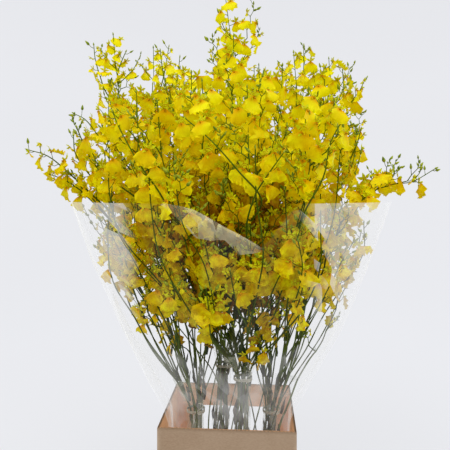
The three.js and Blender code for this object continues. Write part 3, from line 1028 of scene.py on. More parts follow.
def closed_bud(name, sizes, material, plump):
    """A pointed bud that grows along +Z from the origin."""
    bpy.ops.mesh.primitive_uv_sphere_add(segments=6, ring_count=5, radius=0.5, location=(0, 0, 0.5))
    bud = added(name)
    settle(bud)
    edit_by()
    pick(bud, lambda co: co.z > 0.6)
    size_picked((0.72, 0.72, 1), (0, 0, 0.6))
    pick(bud, lambda co: co.z > 0.99)
    bpy.ops.transform.translate(value=(0.05, 0, 0.12))
    bpy.ops.mesh.select_all(action="SELECT")
    size = sizes.bud_length
    size_picked((plump * size, plump * size, size))
    leave_edit()
    bpy.ops.object.shade_smooth()
    bud.data.materials.append(material)
    return bud


def sheath(name, material, reach, curl):
    """A pointed sheath that clasps a stalk and grows along +Z, its back to -Y."""
    leaf = blade(name, 2, SHEATH_ROWS, reach * MM, BLADE_THICKNESS, cup=32, curl=curl)
    leaf.data.materials.append(material)
    leaf.data.transform(Matrix.Rotation(math.radians(90), 4, "X"))
    return leaf


def make_prototypes(sizes, colours):
    """One model of each thing that grows many times over, by kind."""
    materials = {
        "lip": lip_material(colours), "tepal": tepal_material(colours),
        "callus": callus_material(colours),
    }
    bud_look, sheath_look = bud_material(colours), sheath_material(colours)
    buds = (("bud_slim", 0.46), ("bud_plump", 0.6))
    sheaths = (("sheath_long", 34, 3), ("sheath_loose", 26, -9))
    return {
        "flower": [open_flower(f"flower_{v}", sizes, materials, v) for v in range(len(LIP_FORMS))],
        "young": [young_flower("young_flower", sizes, materials)],
        "bud": [closed_bud(name, sizes, bud_look, plump) for name, plump in buds],
        "sheath": [sheath(name, sheath_look, reach, curl) for name, reach, curl in sheaths],
        "bract": [sheath("bract", sheath_look, 8, -8)],
    }


# ---------------------------------------------------------------- how a spray grows
BRANCH_FIRST, BRANCH_STAGGER_REACH, BRANCH_PITCH = 346, 60, 28
LOWEST_BRANCHES = {
    0: 430, 1: 396, 3: 380, 4: 440, 5: 424, 6: 410, 7: 430, 16: 300, 17: 330, 18: 312, 24: 330,
    25: 318, 26: 300, 30: 380, 31: 400,
}
INNER_SHARE, INNER_LIFT = 0.5, 50  # sprays nearer the middle start this much higher
BRANCH_LONGEST, BRANCH_SHORTEST = 128, 58
SMALL_FLOWERS = 0.78  # the size of the lowest and the topmost flowers, as a share of the rest
SMALL_LOW, SMALL_HIGH = (360, 540), (780, 960)  # the heights between which their size changes
FLOWER_SIZES = {"young": (0.75, 1.0), "flower": (0.92, 1.3)}
END_PITCH, END_CLOSING = 19, 9  # between flowers on a stem's end, and how much less at its tip
BRANCH_RADIUS, PEDICEL_RADIUS = 1.05, 0.55
STEM_STEPS = 6  # points on a stem from one station to the next
LONG_RADII = (1.6, 0.8)
BELOW_TIP = 52  # the side branches stop this far below the tip
STALK_BEND, BRANCH_ZIGZAG = 2.6, 0.32
BEND_BELOW = 0.6  # the first bend starts so many stations below the first node
BRANCH_BARE = 0.15  # the share of a branch at its foot that has no flowers
# One branch in RUNNER_EVERY is longer and younger, with a longer bare foot.
RUNNER_EVERY, RUNNER_LENGTH, RUNNER_YOUTH, RUNNER_BARE = 4, 1.45, 0.2, 0.42
FLOWER_ROOM, BUD_ROOM = 18, 8  # kept between a flower or bud and the film
BUD_BELOW, YOUNG_BELOW = 0.35, 0.6  # the ages under which a flower is a bud, or just opening
NODE_REACH, NODE_SWELLING = 0.02, 1.28  # in stations, and as a share of the stalk's radius
SHEATH_PITCH, SHEATH_OFFSET, BRACT_OFFSET = 40, 1.6, 1.2
SHEATHS_FROM, SHEATHS_STOP_BELOW = 60, 20  # a height, and how far below the lowest branch
ARCH_SHEATHS_TO, LOOSE_SHEATHS_TO = 300, 250
# In front, the stalks stand bare between these X, below this Z and forward of this Y.
BARE_COLUMN = (-16, 34, 500, 30)
SPARSE_FROM, SPARSE_BELOW, SPARSE_SHARE = 120, 560, 0.45  # low at its sides, flowers are missing
SHOOT_BARE, SHOOT_PITCH = 1.2, 0.55  # stations of a shoot below its first buds and between them
# Shoots in bud, one low on the left and the rest on the right: spray number, starting height,
# route.
BUD_SHOOTS = (
    (22, 425, ((-203, -30, 486), (-245, -28, 545), (-262, -30, 570), (-277, -30, 599))),
    (5, 590, ((220, 0, 630), (237, -8, 668), (246, -10, 704))),
    (5, 620, ((225, 2, 664), (236, -4, 702), (238, -6, 740))),
    (7, 640, ((236, 90, 690), (249, 84, 722), (256, 82, 752))),
)
# Thin stems that leave a stalk and run up beside it: one in LOOSE_EVERY starts near the foot,
# and each stalk has high ones that start above the tie and end at a height in HIGH_TOP.
LOOSE_EVERY = 4
LOOSE_START, LOOSE_RISE, LOOSE_SLANT = (10, 60), (420, 500), 120
HIGH_FORKS, HIGH_START, HIGH_TOP, HIGH_SLANT = 2, (8, 70), (470, 590), 110
FORK_SIZE = (0.6, 2.3)  # times FORK_OFFSETS
# Stalks that stand further forward than this also have one that runs up just inside the film.
FRONT_Y, FRONT_TOP, FRONT_SIZE = -30, (620, 700), (2.4, 3.2)
FORKS_FLOWER_ABOVE, FRONT_FLOWERS_ABOVE = 420, 632
FORK_REACH = 252  # they stay this near the bunch's axis
FORK_OFFSETS = (10, 19, 28, 38, 48)  # from the stalk, at even steps up
FORK_RADII = (1.4, 0.9)
FORK_FORWARD = 8  # how much they lean to the front, beside a bunch's radius of RING_AT_TIE
ARCH_NODES = (3.5, 3.9, 4.3, 4.7, 5.1, 5.5, 5.9, 6.3, 6.7, 7.1, 7.5, 7.95, 8.4, 8.9)
# The stations from which the arching spray is over the rim, has few open flowers, and flowers
# straight on its stalk.
ARCH_FREE_FROM, ARCH_YOUNG_FROM, ARCH_END_FROM = 6, 7.6, 9.15
ARCH_LONGEST, ARCH_SHORTENING = 104, 70
LOOSE_NODES = (2.5, 3.4, 4.3, 5.2, 5.8, 6.3)
LOOSE_TWIGS = ((4.3, 2.6, 34), (5.2, -0.3, 40), (5.8, 2.2, 46))  # station, angle, reach
LOOSE_END_FROM = 6.0


class Growth:
    """The stems of one spray, and the place of each flower, bud and sheath on them."""

    def __init__(self, number, route, nodes, sizes):
        self.draw = random.Random(SEED * 1000 + number)
        self.route, self.nodes = route, nodes
        self.aside = spoke(self.draw.uniform(0, TAU)) * STALK_BEND
        self.stems, self.pedicels, self.parts = [], [], []
        self.pedicel_length = sizes.pedicel_length / MM
        self.internode = sizes.internode / MM
        self.foot, self.tip = sizes.stalk_foot / MM, sizes.stalk_tip / MM
        self.is_free = False

    def jitter(self, amount):
        return Vector([self.draw.uniform(-amount, amount) for _ in range(3)])

    def kept(self, point, margin):
        return point if self.is_free else kept_inside(point, margin)

    def on_stalk(self, station):
        """A point of the stalk, which bends a little at each node, one way and then the other."""
        place = self.route.at(station)
        before, below = self.nodes[0] - BEND_BELOW, 0
        for i, node in enumerate([*self.nodes, self.route.spans]):
            above = 0 if node == self.route.spans else 1 - i % 2 * 2
            if before < station <= node:
                share = (station - before) / (node - before)
                return place + self.aside * (below + (above - below) * share)
            before, below = node, above
        return place

    def add_part(self, kind, at, facing, up, size):
        """Places a part that faces -Y and stands along +Z in its own frame."""
        back = -facing.normalized()
        side = back.cross(up).normalized()
        turn = Matrix((side, back, side.cross(back))).transposed()
        stretched = Matrix.Diagonal((size * self.draw.uniform(0.86, 1.1), size, size, 1))
        placed = Matrix.Translation(at * MM) @ turn.to_4x4() @ stretched
        self.parts.append((kind, placed))

    def add_bud(self, at, along, size):
        aside = along.cross(Vector((0.3, 1, 0.2))).normalized()
        self.add_part("bud", at, aside, along, size)

    def add_flower(self, at, away, outwards, age):
        """A pedicel and what it carries. age runs from 0, a tight bud, to 1, in full flower."""
        draw, age = self.draw, min(1, max(0, age))
        reach = self.pedicel_length * draw.uniform(0.75, 1.2) * (0.45 + 0.55 * age)
        room = FLOWER_ROOM if age > BUD_BELOW else BUD_ROOM
        middle = at + away * reach * 0.5 + UP * reach * 0.05
        end = self.kept(at + away * reach * 0.85 + UP * reach * 0.3, room)
        radii = [PEDICEL_RADIUS * share for share in (1.15, 1, 0.9)]
        self.pedicels.append(([at, middle, end], radii))
        if age < BUD_BELOW:
            self.add_bud(end, (end - middle).normalized(), 0.7 + age + draw.uniform(-0.1, 0.1))
            return
        level = Vector((away.x, away.y, 0)) * 0.6 + outwards * 0.9 + self.jitter(0.62)
        facing = (level + UP * draw.uniform(-0.25, 0.4)).normalized()
        upright = (UP + self.jitter(0.55)).normalized()
        scale = SMALL_FLOWERS + (1 - SMALL_FLOWERS) * smooth_step(end.z, *SMALL_LOW)
        scale *= 1 - (1 - SMALL_FLOWERS) * smooth_step(end.z, *SMALL_HIGH)
        kind = "young" if age < YOUNG_BELOW else "flower"
        self.add_part(kind, end, facing, upright, scale * draw.uniform(*FLOWER_SIZES[kind]))

    def side_branch(self, station, outwards, reach, youth, bare=BRANCH_BARE):
        """A branch that zigzags from flower to flower and ends in buds. Its foot is bare."""
        draw, start = self.draw, self.on_stalk(station)
        count = max(2, round(reach / self.internode))
        leaving = (self.route.heading(station) * 0.6 + outwards * 0.8).normalized()
        rising = (UP * 0.85 + outwards * 0.42).normalized()
        swing = leaving.cross(UP).normalized()
        swing.rotate(Quaternion(leaving, draw.uniform(-0.9, 0.9)))
        points, radii = [start], [BRANCH_RADIUS]
        low_x, high_x, top_z, back_y = BARE_COLUMN
        for step in range(count + 1):
            share = (step + 1) / (count + 1)
            way = 1 if step % 2 else -1
            aim = leaving.lerp(rising, share).normalized()
            heading = (aim + swing * way * BRANCH_ZIGZAG + self.jitter(0.12)).normalized()
            stride = self.internode * draw.uniform(0.85, 1.1) * (1.1 - 0.4 * share)
            at = self.kept(points[-1] + heading * stride, BUD_ROOM)
            points.append(at)
            radii.append(BRANCH_RADIUS * (1 - 0.55 * share))
            is_bare = low_x < at.x < high_x and at.z < top_z and at.y < back_y
            if share < bare or is_bare:
                continue
            if abs(at.x) > SPARSE_FROM and at.z < SPARSE_BELOW and draw.random() < SPARSE_SHARE:
                continue
            away = (swing * way * 0.9 + heading * 0.45 + UP * 0.1 + self.jitter(0.25)).normalized()
            age = 2.0 - 1.8 * share - youth + draw.uniform(-0.12, 0.12)
            self.add_flower(at, away, outwards, age)
        tip, end = points[-1], (points[-1] - points[-2]).normalized()
        self.add_bud(tip, end, draw.uniform(0.45, 0.7))
        for way, back in ((-1, 9), (1, 5)):
            along = (end * 0.8 + swing * way + self.jitter(0.3)).normalized()
            self.add_bud(tip - end * back, along, draw.uniform(0.5, 0.8))
        self.stems.append((points, radii))

    def flowering_end(self, route, first, youth):
        """Flowers straight on a stem, from a station up to the buds at its tip."""
        station, way, start = first, 1, route.at(first)
        total = (route.at(route.spans) - start).length
        while station < route.spans - 0.03:
            at, heading = route.at(station), route.heading(station)
            share = (at - start).length / total
            across = heading.cross(Vector((0.2, -1, 0.1))).normalized()
            away = (across * way * 0.85 + heading * 0.5 + self.jitter(0.35)).normalized()
            outwards = Vector((at.x, at.y, 0)).normalized()
            age = 1.6 - 1.5 * share - youth + self.draw.uniform(-0.1, 0.1)
            self.add_flower(at, away, outwards, age)
            ahead = min(station + 0.2, route.spans)
            stride = (route.at(ahead) - at).length / (ahead - station)
            station += (END_PITCH - END_CLOSING * share) / stride
            way = -way
        self.add_bud(route.at(route.spans), route.heading(route.spans), 0.6)

    def fork(self, tie, start, rise, slant, size=FORK_SIZE, flowers_above=FORKS_FLOWER_ABOVE):
        """A thin stem that leaves the stalk at height `start` and flowers at its end.

        It stands away from the tie, and leans up to `slant` mm to one side over its whole run.
        """
        draw, at_tie = self.draw, self.route.at(2)
        out = Vector((at_tie.x - tie[0], at_tie.y - tie[1] - FORK_FORWARD, 0)).normalized()
        across, size = out.cross(UP), draw.uniform(*size)
        slant *= draw.uniform(-1.0, 1.0)
        points = [self.route.at_height(start)]
        for i, offset in enumerate(FORK_OFFSETS):
            share = (i + 1) / len(FORK_OFFSETS)
            point = self.route.at_height(start + rise * share) + out * offset * size
            point += across * slant * (share - 0.2) + self.jitter(4)
            drawn_in = min(1, FORK_REACH / math.hypot(point.x, point.y))
            point = Vector((point.x * drawn_in, point.y * drawn_in, point.z))
            points.append(self.kept(point, BUD_ROOM))
        route = Route(points)
        self.stems.append(tapered(route, *FORK_RADII))
        first = max(draw.uniform(3.2, 3.9), route.station_at(flowers_above))
        self.flowering_end(route, first, youth=0.1)

    def bare_shoot(self, route):
        """A thin shoot with nothing but buds on it, in pairs."""
        self.stems.append(tapered(route, BRANCH_RADIUS * 0.9, BRANCH_RADIUS * 0.5))
        station, way = SHOOT_BARE, 1
        while station < route.spans:
            across = route.heading(station).cross(UP).normalized()
            for side in (way, -way * 0.6):
                away = (across * side + route.heading(station) * 0.8).normalized()
                self.add_bud(route.at(station) + away * 2, away, self.draw.uniform(0.5, 0.9))
            station += SHOOT_PITCH
            way = -way
        self.add_bud(route.at(route.spans), route.heading(route.spans), 0.8)

    def stalk(self):
        """The stalk itself, tapering, with a small swelling at each node."""
        route = self.route
        stations = {i / STEM_STEPS for i in range(STEM_STEPS * route.spans + 1)}
        for node in self.nodes:
            stations |= {node - NODE_REACH, node, node + NODE_REACH}
        points, radii = [], []
        for station in sorted(s for s in stations if s <= route.spans):
            share = station / route.spans
            radius = self.foot + (self.tip - self.foot) * smooth_step(share, 0.15, 1)
            points.append(self.on_stalk(station))
            radii.append(radius * (NODE_SWELLING if station in self.nodes else 1))
        self.stems.append((points, radii))

    def sheaths(self, low, high):
        """Sheaths up the bare part of the stalk, on alternate sides."""
        z, angle = low + self.draw.uniform(0, SHEATH_PITCH), self.draw.uniform(0, TAU)
        while z < high:
            station = self.route.station_at(z)
            away = spoke(angle)
            at = self.route.at(station) + away * SHEATH_OFFSET
            heading = self.route.heading(station)
            self.add_part("sheath", at, away, heading, self.draw.uniform(0.7, 1.15))
            z += SHEATH_PITCH * self.draw.uniform(0.8, 1.3)
            angle += math.pi * self.draw.uniform(0.8, 1.2)

    def bract(self, station, away):
        """The small leaf under a side branch."""
        at = self.on_stalk(station) + away * BRACT_OFFSET
        self.add_part("bract", at, away, self.route.heading(station), self.draw.uniform(0.8, 1.3))


def grow_bunched(spray, sizes):
    """Side branches at even heights, each a golden angle on from the one below but one."""
    number, route, slot = spray.number, spray.route, spray.slot
    top = route.at(route.spans).z - BELOW_TIP
    stagger = BRANCH_STAGGER_REACH * ((number * GOLDEN_SHARE) % 1)
    first = LOWEST_BRANCHES.get(number, BRANCH_FIRST + stagger)
    if slot.share < INNER_SHARE:
        first = max(first, BRANCH_FIRST) + INNER_LIFT
    count = round((top - first) / BRANCH_PITCH)
    heights = [first + (i + 0.25 * (i % 2)) * (top - first) / count for i in range(count)]
    growth = Growth(number, route, [route.station_at(z) for z in heights], sizes)
    for i, station in enumerate(growth.nodes):
        outwards = spoke(slot.angle + (i // 2 + 0.5) * GOLDEN_ANGLE + (i % 2) * math.pi * 0.9)
        share = i / count
        reach = BRANCH_LONGEST + (BRANCH_SHORTEST - BRANCH_LONGEST) * share
        youth = 0.08 * share + 0.4 * share * max(0, slot.share - 0.5)
        reach *= growth.draw.uniform(0.75, 1.15)
        growth.bract(station, outwards)
        if i % RUNNER_EVERY == 2:
            longer, younger = reach * RUNNER_LENGTH, youth + RUNNER_YOUTH
            growth.side_branch(station, outwards, longer, younger, RUNNER_BARE)
        else:
            growth.side_branch(station, outwards, reach, youth)
    growth.flowering_end(route, route.station_at(top), youth=-0.3)
    growth.stalk()
    growth.sheaths(SHEATHS_FROM, first - SHEATHS_STOP_BELOW)
    bunch = BUNCHES[number // BUNCH_SIZE]
    draw = growth.draw.uniform
    if number % LOOSE_EVERY == 0:
        growth.fork(bunch.tie, draw(*LOOSE_START), draw(*LOOSE_RISE), LOOSE_SLANT)
    for _ in range(HIGH_FORKS):
        start = bunch.tie_z + draw(*HIGH_START)
        growth.fork(bunch.tie, start, draw(*HIGH_TOP) - start, HIGH_SLANT)
    if slot.y < FRONT_Y:
        start, top = bunch.tie_z + draw(*HIGH_START), draw(*FRONT_TOP)
        growth.fork(bunch.tie, start, top - start, HIGH_SLANT, FRONT_SIZE, FRONT_FLOWERS_ABOVE)
    for from_number, from_z, ends in BUD_SHOOTS:
        if from_number == number:
            growth.bare_shoot(Route([route.at_height(from_z), *ends]))
    for from_number, from_z, first_flower, ends in LONG_BRANCHES:
        if from_number == number:
            growth.is_free = True
            long = Route([route.at_height(from_z), *ends])
            growth.stems.append(tapered(long, *LONG_RADII))
            growth.flowering_end(long, first_flower, youth=-0.1)
    return growth


def tapered(route, start_radius, end_radius):
    """The points and radii of a stem along the whole route."""
    count = STEM_STEPS * route.spans
    shares = [i / count for i in range(count + 1)]
    return (
        [route.at(share * route.spans) for share in shares],
        [start_radius + (end_radius - start_radius) * share for share in shares],
    )


def grow_arching(spray, sizes):
    """The spray that arches out over the rim, flowering along the top of its arch."""
    growth = Growth(spray.number, spray.route, ARCH_NODES, sizes)
    growth.stalk()
    growth.sheaths(SHEATHS_FROM, ARCH_SHEATHS_TO)
    for i, station in enumerate(growth.nodes):
        growth.is_free = station > ARCH_FREE_FROM
        azimuth = i * GOLDEN_ANGLE + 1
        outwards = Vector((0.5 + 0.5 * math.cos(azimuth), 0.7 * math.sin(azimuth), 0.3))
        reach = ARCH_LONGEST - ARCH_SHORTENING * i / len(growth.nodes)
        growth.bract(station, outwards.normalized())
        youth = 0.04 * i + (0.5 if station > ARCH_YOUNG_FROM else 0)
        growth.side_branch(station, outwards.normalized(), reach, youth)
    growth.flowering_end(spray.route, ARCH_END_FROM, youth=0.9)
    return growth


def grow_loose(sizes):
    """The stray spray: bare, with three small side twigs, and a few flowers near its tip."""
    growth = Growth(len(BUNCHES) * BUNCH_SIZE, Route(LOOSE_ROUTE), LOOSE_NODES, sizes)
    growth.stalk()
    growth.sheaths(SHEATHS_FROM, LOOSE_SHEATHS_TO)
    for station in growth.nodes:
        growth.bract(station, spoke(5 * station))
    for station, angle, reach in LOOSE_TWIGS:
        growth.side_branch(station, spoke(angle), reach, youth=0.3)
    growth.flowering_end(growth.route, LOOSE_END_FROM, youth=0.2)
    return growth


def tube_mesh(name, lines, roundness, material):
    """Every line as a tapering tube, in one mesh."""
    curve = bpy.data.curves.new(name, "CURVE")
    curve.dimensions = "3D"
    curve.bevel_depth = MM
    curve.bevel_resolution = roundness
    curve.use_fill_caps = True
    for points, radii in lines:
        spline = curve.splines.new("POLY")
        spline.points.add(len(points) - 1)
        for knot, point, radius in zip(spline.points, points, radii):
            knot.co = (*(point * MM), 1)
            knot.radius = radius
    tubes = bpy.data.objects.new(name, curve)
    bpy.context.collection.objects.link(tubes)
    activate(tubes)
    bpy.ops.object.convert(target="MESH")
    tubes = added(name)
    tubes.data.materials.append(material)
    smooth_below(50)
    return tubes


def build_spray(name, growth, prototypes, stalk_look):
    """Models the stems and sets a copy of a prototype at each place, all in one piece."""
    pieces = [
        tube_mesh(name, growth.stems, 1, stalk_look),
        tube_mesh(name + "_pedicels", growth.pedicels, 0, stalk_look),
    ]
    for kind, placed in growth.parts:
        model = growth.draw.choice(prototypes[kind])
        copy = bpy.data.objects.new(kind, model.data.copy())
        copy.matrix_world = placed
        bpy.context.collection.objects.link(copy)
        pieces.append(copy)
    bpy.context.view_layer.update()
    return joined(name, pieces)


class ORCHID_OT_build_sprays(bpy.types.Operator):
    """Grow all the sprays, each as one piece"""

    bl_idname = "orchid.build_sprays"
    bl_label = "Sprays"

    def execute(self, context):
        sizes, colours = context.scene.orchid_sizes, context.scene.orchid_colours
        prototypes = make_prototypes(sizes, colours)
        stalk_look = stalk_material(colours)
        growths = {}
        for spray in planned_sprays():
            grow = grow_arching if spray.number == ARCHING_SPRAY else grow_bunched
            growths[spray.node] = grow(spray, sizes)
        growths["spray_loose"] = grow_loose(sizes)
        for node, growth in growths.items():
            piece = build_spray(node.replace("spray", "orchid"), growth, prototypes, stalk_look)
            finish_piece(piece, "orchid_spray", node)
        for models in prototypes.values():
            for model in models:
                bpy.data.objects.remove(model)
        return {"FINISHED"}


# ---------------------------------------------------------------- carton
LINER, MEDIUM, MEDIUM_GAP = 0.6, 0.3, 0.25  # two thicknesses, and the room between them
MEDIUM_BELOW_RIM = 0.4
BOARD_RADIUS, EDGE_ROUNDING = 2.4, 0.12  # of the folded corners and of the liners' cut edges
FLUTE_STEPS = 8  # flat steps of the medium in one flute
WINDOW_RADIUS, CUTTER_DEPTH = 6, 30


def open_box(name, x, y, height, foot, wall, material):
    """An open-topped box with an outside of x by y, its walls `wall` thick, in millimetres."""
    middle = (0, 0, (foot + height / 2) * MM)
    box = add_block(name, middle, (x * MM, y * MM, height * MM))
    edit_by()
    top = (foot + height) * MM
    pick(box, lambda co: co.z > top - 1e-5)
    bpy.ops.mesh.delete(type="ONLY_FACE")
    bpy.ops.mesh.select_all(action="DESELECT")
    pick_edges(box, lambda edge: abs(edge.verts[0].co.z - edge.verts[1].co.z) > 0.5 * height * MM)
    bpy.ops.mesh.bevel(offset=BOARD_RADIUS * MM, segments=4, affect="EDGES")
    leave_edit()
    apply_modifier(box, "SOLIDIFY", thickness=wall * MM, offset=-1)
    box.data.materials.append(material)
    return box


def cut_window(board):
    """Cuts the carrying window, round-cornered, through the back wall."""
    _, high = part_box("kraft_carton")
    z = high.z - (WINDOW_BELOW_RIM + WINDOW_HEIGHT / 2) * MM
    size = Vector((WINDOW_WIDTH, CUTTER_DEPTH, WINDOW_HEIGHT)) * MM
    cutter = add_block("cutter", (0, high.y, z), size)
    apply_modifier(cutter, "BEVEL", width=WINDOW_RADIUS * MM, segments=4)
    apply_modifier(board, "BOOLEAN", operation="DIFFERENCE", solver="EXACT", object=cutter)
    bpy.data.objects.remove(cutter)


def fluting(x, y, foot, top, pitch, material):
    """The wavy medium between the liners, in strips that leave the window open."""
    low, high = top - WINDOW_BELOW_RIM - WINDOW_HEIGHT, top - WINDOW_BELOW_RIM
    x, y, half = x / 2, y / 2, WINDOW_WIDTH / 2
    corners = ((-x, -y), (x, -y), (x, y), (half, y), (-half, y), (-x, y), (-x, -y))
    walls = [(start, end, foot, top) for start, end in zip(corners, corners[1:])]
    right, left, _, _ = walls[3]
    walls[3:4] = [(right, left, foot, low), (right, left, high, top)]
    strips = []
    for (x0, y0), (x1, y1), z0, z1 in walls:
        run = math.hypot(x1 - x0, y1 - y0)
        strip = add_grid("flutes", max(1, round(run / pitch)) * FLUTE_STEPS, 1)
        along, out = Vector((x1 - x0, y1 - y0)) / run, Vector((y1 - y0, x0 - x1)) / run
        for vertex in strip.data.vertices:
            at = (vertex.co.x + 0.5) * run
            wave = (BOARD / 2 - LINER - MEDIUM_GAP) * math.sin(TAU * at / pitch)
            place = Vector((x0, y0)) + along * at + out * wave
            vertex.co = (place.x * MM, place.y * MM, (z0 if vertex.co.y < 0 else z1) * MM)
        apply_modifier(strip, "SOLIDIFY", thickness=MEDIUM * MM, offset=0)
        strips.append(strip)
    flutes = joined("flutes", strips)
    flutes.data.materials.append(material)
    return flutes


class ORCHID_OT_build_carton(bpy.types.Operator):
    """Build the corrugated carton: two liners, the fluted medium and the floor"""

    bl_idname = "orchid.build_carton"
    bl_label = "Carton"

    def execute(self, context):
        look = context.scene.orchid_packing
        low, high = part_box("kraft_carton")
        x, y, top = (high.x - low.x) / MM, (high.y - low.y) / MM, high.z / MM
        pitch = look.flute_pitch
        outside = kraft_material("kraft_outside", look.kraft, pitch)
        # The inner liner glows a little: painted light inside the carton.
        inside = kraft_material("kraft_inside", look.kraft_inside, pitch, glow=0.1)
        shell = open_box("outer_liner", x, y, top, 0, LINER, outside)
        inset = BOARD - LINER
        inner_x, inner_y = x - 2 * inset, y - 2 * inset
        lining = open_box("inner_liner", inner_x, inner_y, top - inset, inset, LINER, inside)
        for liner in (shell, lining):
            cut_window(liner)
            edges = {"width": EDGE_ROUNDING * MM, "segments": 1, "limit_method": "ANGLE"}
            apply_modifier(liner, "BEVEL", **edges)
        flute_top = top - MEDIUM_BELOW_RIM
        flutes = fluting(x - BOARD, y - BOARD, BOARD, flute_top, pitch / MM, outside)
        floor_size = (inner_x * MM, inner_y * MM, (BOARD - 2.4 * LINER) * MM)
        floor = add_block("floor_flaps", (0, 0, BOARD / 2 * MM), floor_size)
        floor.data.materials.append(outside)
        carton = joined("carton_board", [shell, lining, flutes, floor])
        finish_piece(carton, "kraft_board", "kraft_carton")
        return {"FINISHED"}


# ---------------------------------------------------------------- sleeve
PLY_COLUMNS, PLY_ROWS = 72, 44
WELD_FIN = 5
CUFF_START, CUFF_END = -15.5, 15  # degrees round from the front
CUFF_COLUMNS, CUFF_ROWS = 44, 6
CUFF_WIDTHS = (2, 20, 40, 32, 18, 30, 16, 2)
CUFF_RISES = (0, 6, 10, 8, 5, 4, 2, 0)  # of its fold over the film's edge
PLY_GAP = 0.15  # from each ply to the plane where they are welded
CREASED_BETWEEN = (240, 420)  # the heights where the creases start and are at their deepest
# Of each set of creases: their depth, how many go round, the height in which they move on by one
# to the left, or to the right if it is negative, and the share of one that they start at.
CREASES = ((3.4, 9, 900, 0), (2.0, 17, -260, 0.3), (0.8, 41, 90, 0))
BACK_HAZE = 0.6  # the back ply's haze, as a share of the front's


def zigzag(turns):
    """A triangle wave from -1 to 1."""
    return 4 * abs(turns % 1 - 0.5) - 1


def crease(angle, height):
    """How far the film stands out of its plain cone here: broad facets with sharp folds."""
    turns = angle / TAU
    loose = smooth_step(height, *CREASED_BETWEEN)
    seam = min(1, abs(math.sin(angle)) * 4)
    folds = [depth * zigzag(turns * count + height / rise + at) for depth, count, rise, at in CREASES]
    return loose * seam * sum(folds)


def film_place(angle, z):
    """A point of the creased film."""
    radius = sleeve_radius(angle, z) + crease(angle, z)
    return Vector((radius * math.cos(angle), radius * math.sin(angle), z))


def build_ply(name, side, first_angle, material):
    """One ply of the sleeve, with a flat welded fin at each end."""
    ply = add_grid(name, PLY_COLUMNS, PLY_ROWS)
    step = 1 / PLY_COLUMNS
    for vertex in ply.data.vertices:
        share, rise = vertex.co.x + 0.5, vertex.co.y + 0.5
        inner = min(max((share - step) / (1 - 2 * step), 0), 1)
        angle = first_angle + inner * math.pi
        height = SLEEVE_FOOT + rise * (SLEEVE_RIM - SLEEVE_FOOT)
        place = film_place(angle, dipped(angle, height))
        place.y = min(place.y, -PLY_GAP) if side == "front" else max(place.y, PLY_GAP)
        if share < step / 2 or share > 1 - step / 2:
            place.x += math.copysign(WELD_FIN, place.x)
        vertex.co = place * MM
    smooth_below(7)
    ply.data.materials.append(material)
    return ply


def at_corners(values, share):
    """Reads a list of values, one for each corner of the cuff, at this share of its length."""
    at = min(share, 0.9999) * (len(values) - 1)
    low, high = values[int(at)], values[int(at) + 1]
    return low + (high - low) * (at % 1)


def build_cuff(material):
    """The strip of film that is folded out over the dipped front edge."""
    cuff = add_grid("sleeve_cuff", CUFF_COLUMNS, CUFF_ROWS)
    for vertex in cuff.data.vertices:
        share, down = vertex.co.x + 0.5, 0.5 - vertex.co.y
        angle = math.radians(CUFF_START + share * (CUFF_END - CUFF_START) - 90)
        rim = dipped(angle, SLEEVE_RIM)
        z = rim + at_corners(CUFF_RISES, share) - down * at_corners(CUFF_WIDTHS, share)
        place = film_place(angle, z)
        out = 1.4 + 3.5 * math.sin(math.pi * down) + 1.4 * zigzag(share * 7 + down)
        out = -0.8 if down < 0.01 else out
        vertex.co = (place + spoke(angle) * out) * MM
    smooth_below(9)
    cuff.data.materials.append(material)
    return cuff


class ORCHID_OT_build_sleeve(bpy.types.Operator):
    """Build the sleeve's two plies and the cuff folded out over its front edge"""

    bl_idname = "orchid.build_sleeve"
    bl_label = "Sleeve"

    def execute(self, context):
        look = context.scene.orchid_packing
        front_film = film_material("sleeve_film_front", look.film, look.haze)
        back_film = film_material("sleeve_film_back", look.film, BACK_HAZE * look.haze)
        cuff_film = cuff_material(look.cuff, look.cuff_shaded_facets)
        front = build_ply("sleeve_front_film", "front", -math.pi, front_film)
        back = build_ply("sleeve_back_film", "back", 0, back_film)
        cuff = build_cuff(cuff_film)
        finish_piece(front, "clear_film", "sleeve_front_ply")
        finish_piece(back, "clear_film", "sleeve_back_ply")
        finish_piece(cuff, "clear_film")
        return {"FINISHED"}


# ---------------------------------------------------------------- wraps and ties
WRAP_COLUMNS, WRAP_ROWS = 48, 18
TIE_TURNS, TIE_RADIUS, TIE_RISE, TIE_INSET = 3.3, 0.8, 1.7, 1.2
TIE_STEPS = 28  # points round one turn
LOOP_REACH, LOOP_WIDTH, LOOP_RISE, LOOP_STEPS = 7, 9, 9, 16
LOOP_ANGLE = 0.4 - math.pi / 2  # a little to the right of the front


def sections_of(node):
    """(centre, radius) of a wrap's node at each height that it has, in metres."""
    rings = {}
    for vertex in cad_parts[node].data.vertices:
        rings.setdefault(round(vertex.co.z, 4), []).append(vertex.co)
    sections = []
    for z in sorted(rings):
        low_x, high_x = min(v.x for v in rings[z]), max(v.x for v in rings[z])
        low_y, high_y = min(v.y for v in rings[z]), max(v.y for v in rings[z])
        centre = Vector(((low_x + high_x) / 2, (low_y + high_y) / 2, z))
        sections.append((centre, (high_x - low_x) / 2))
    return sections


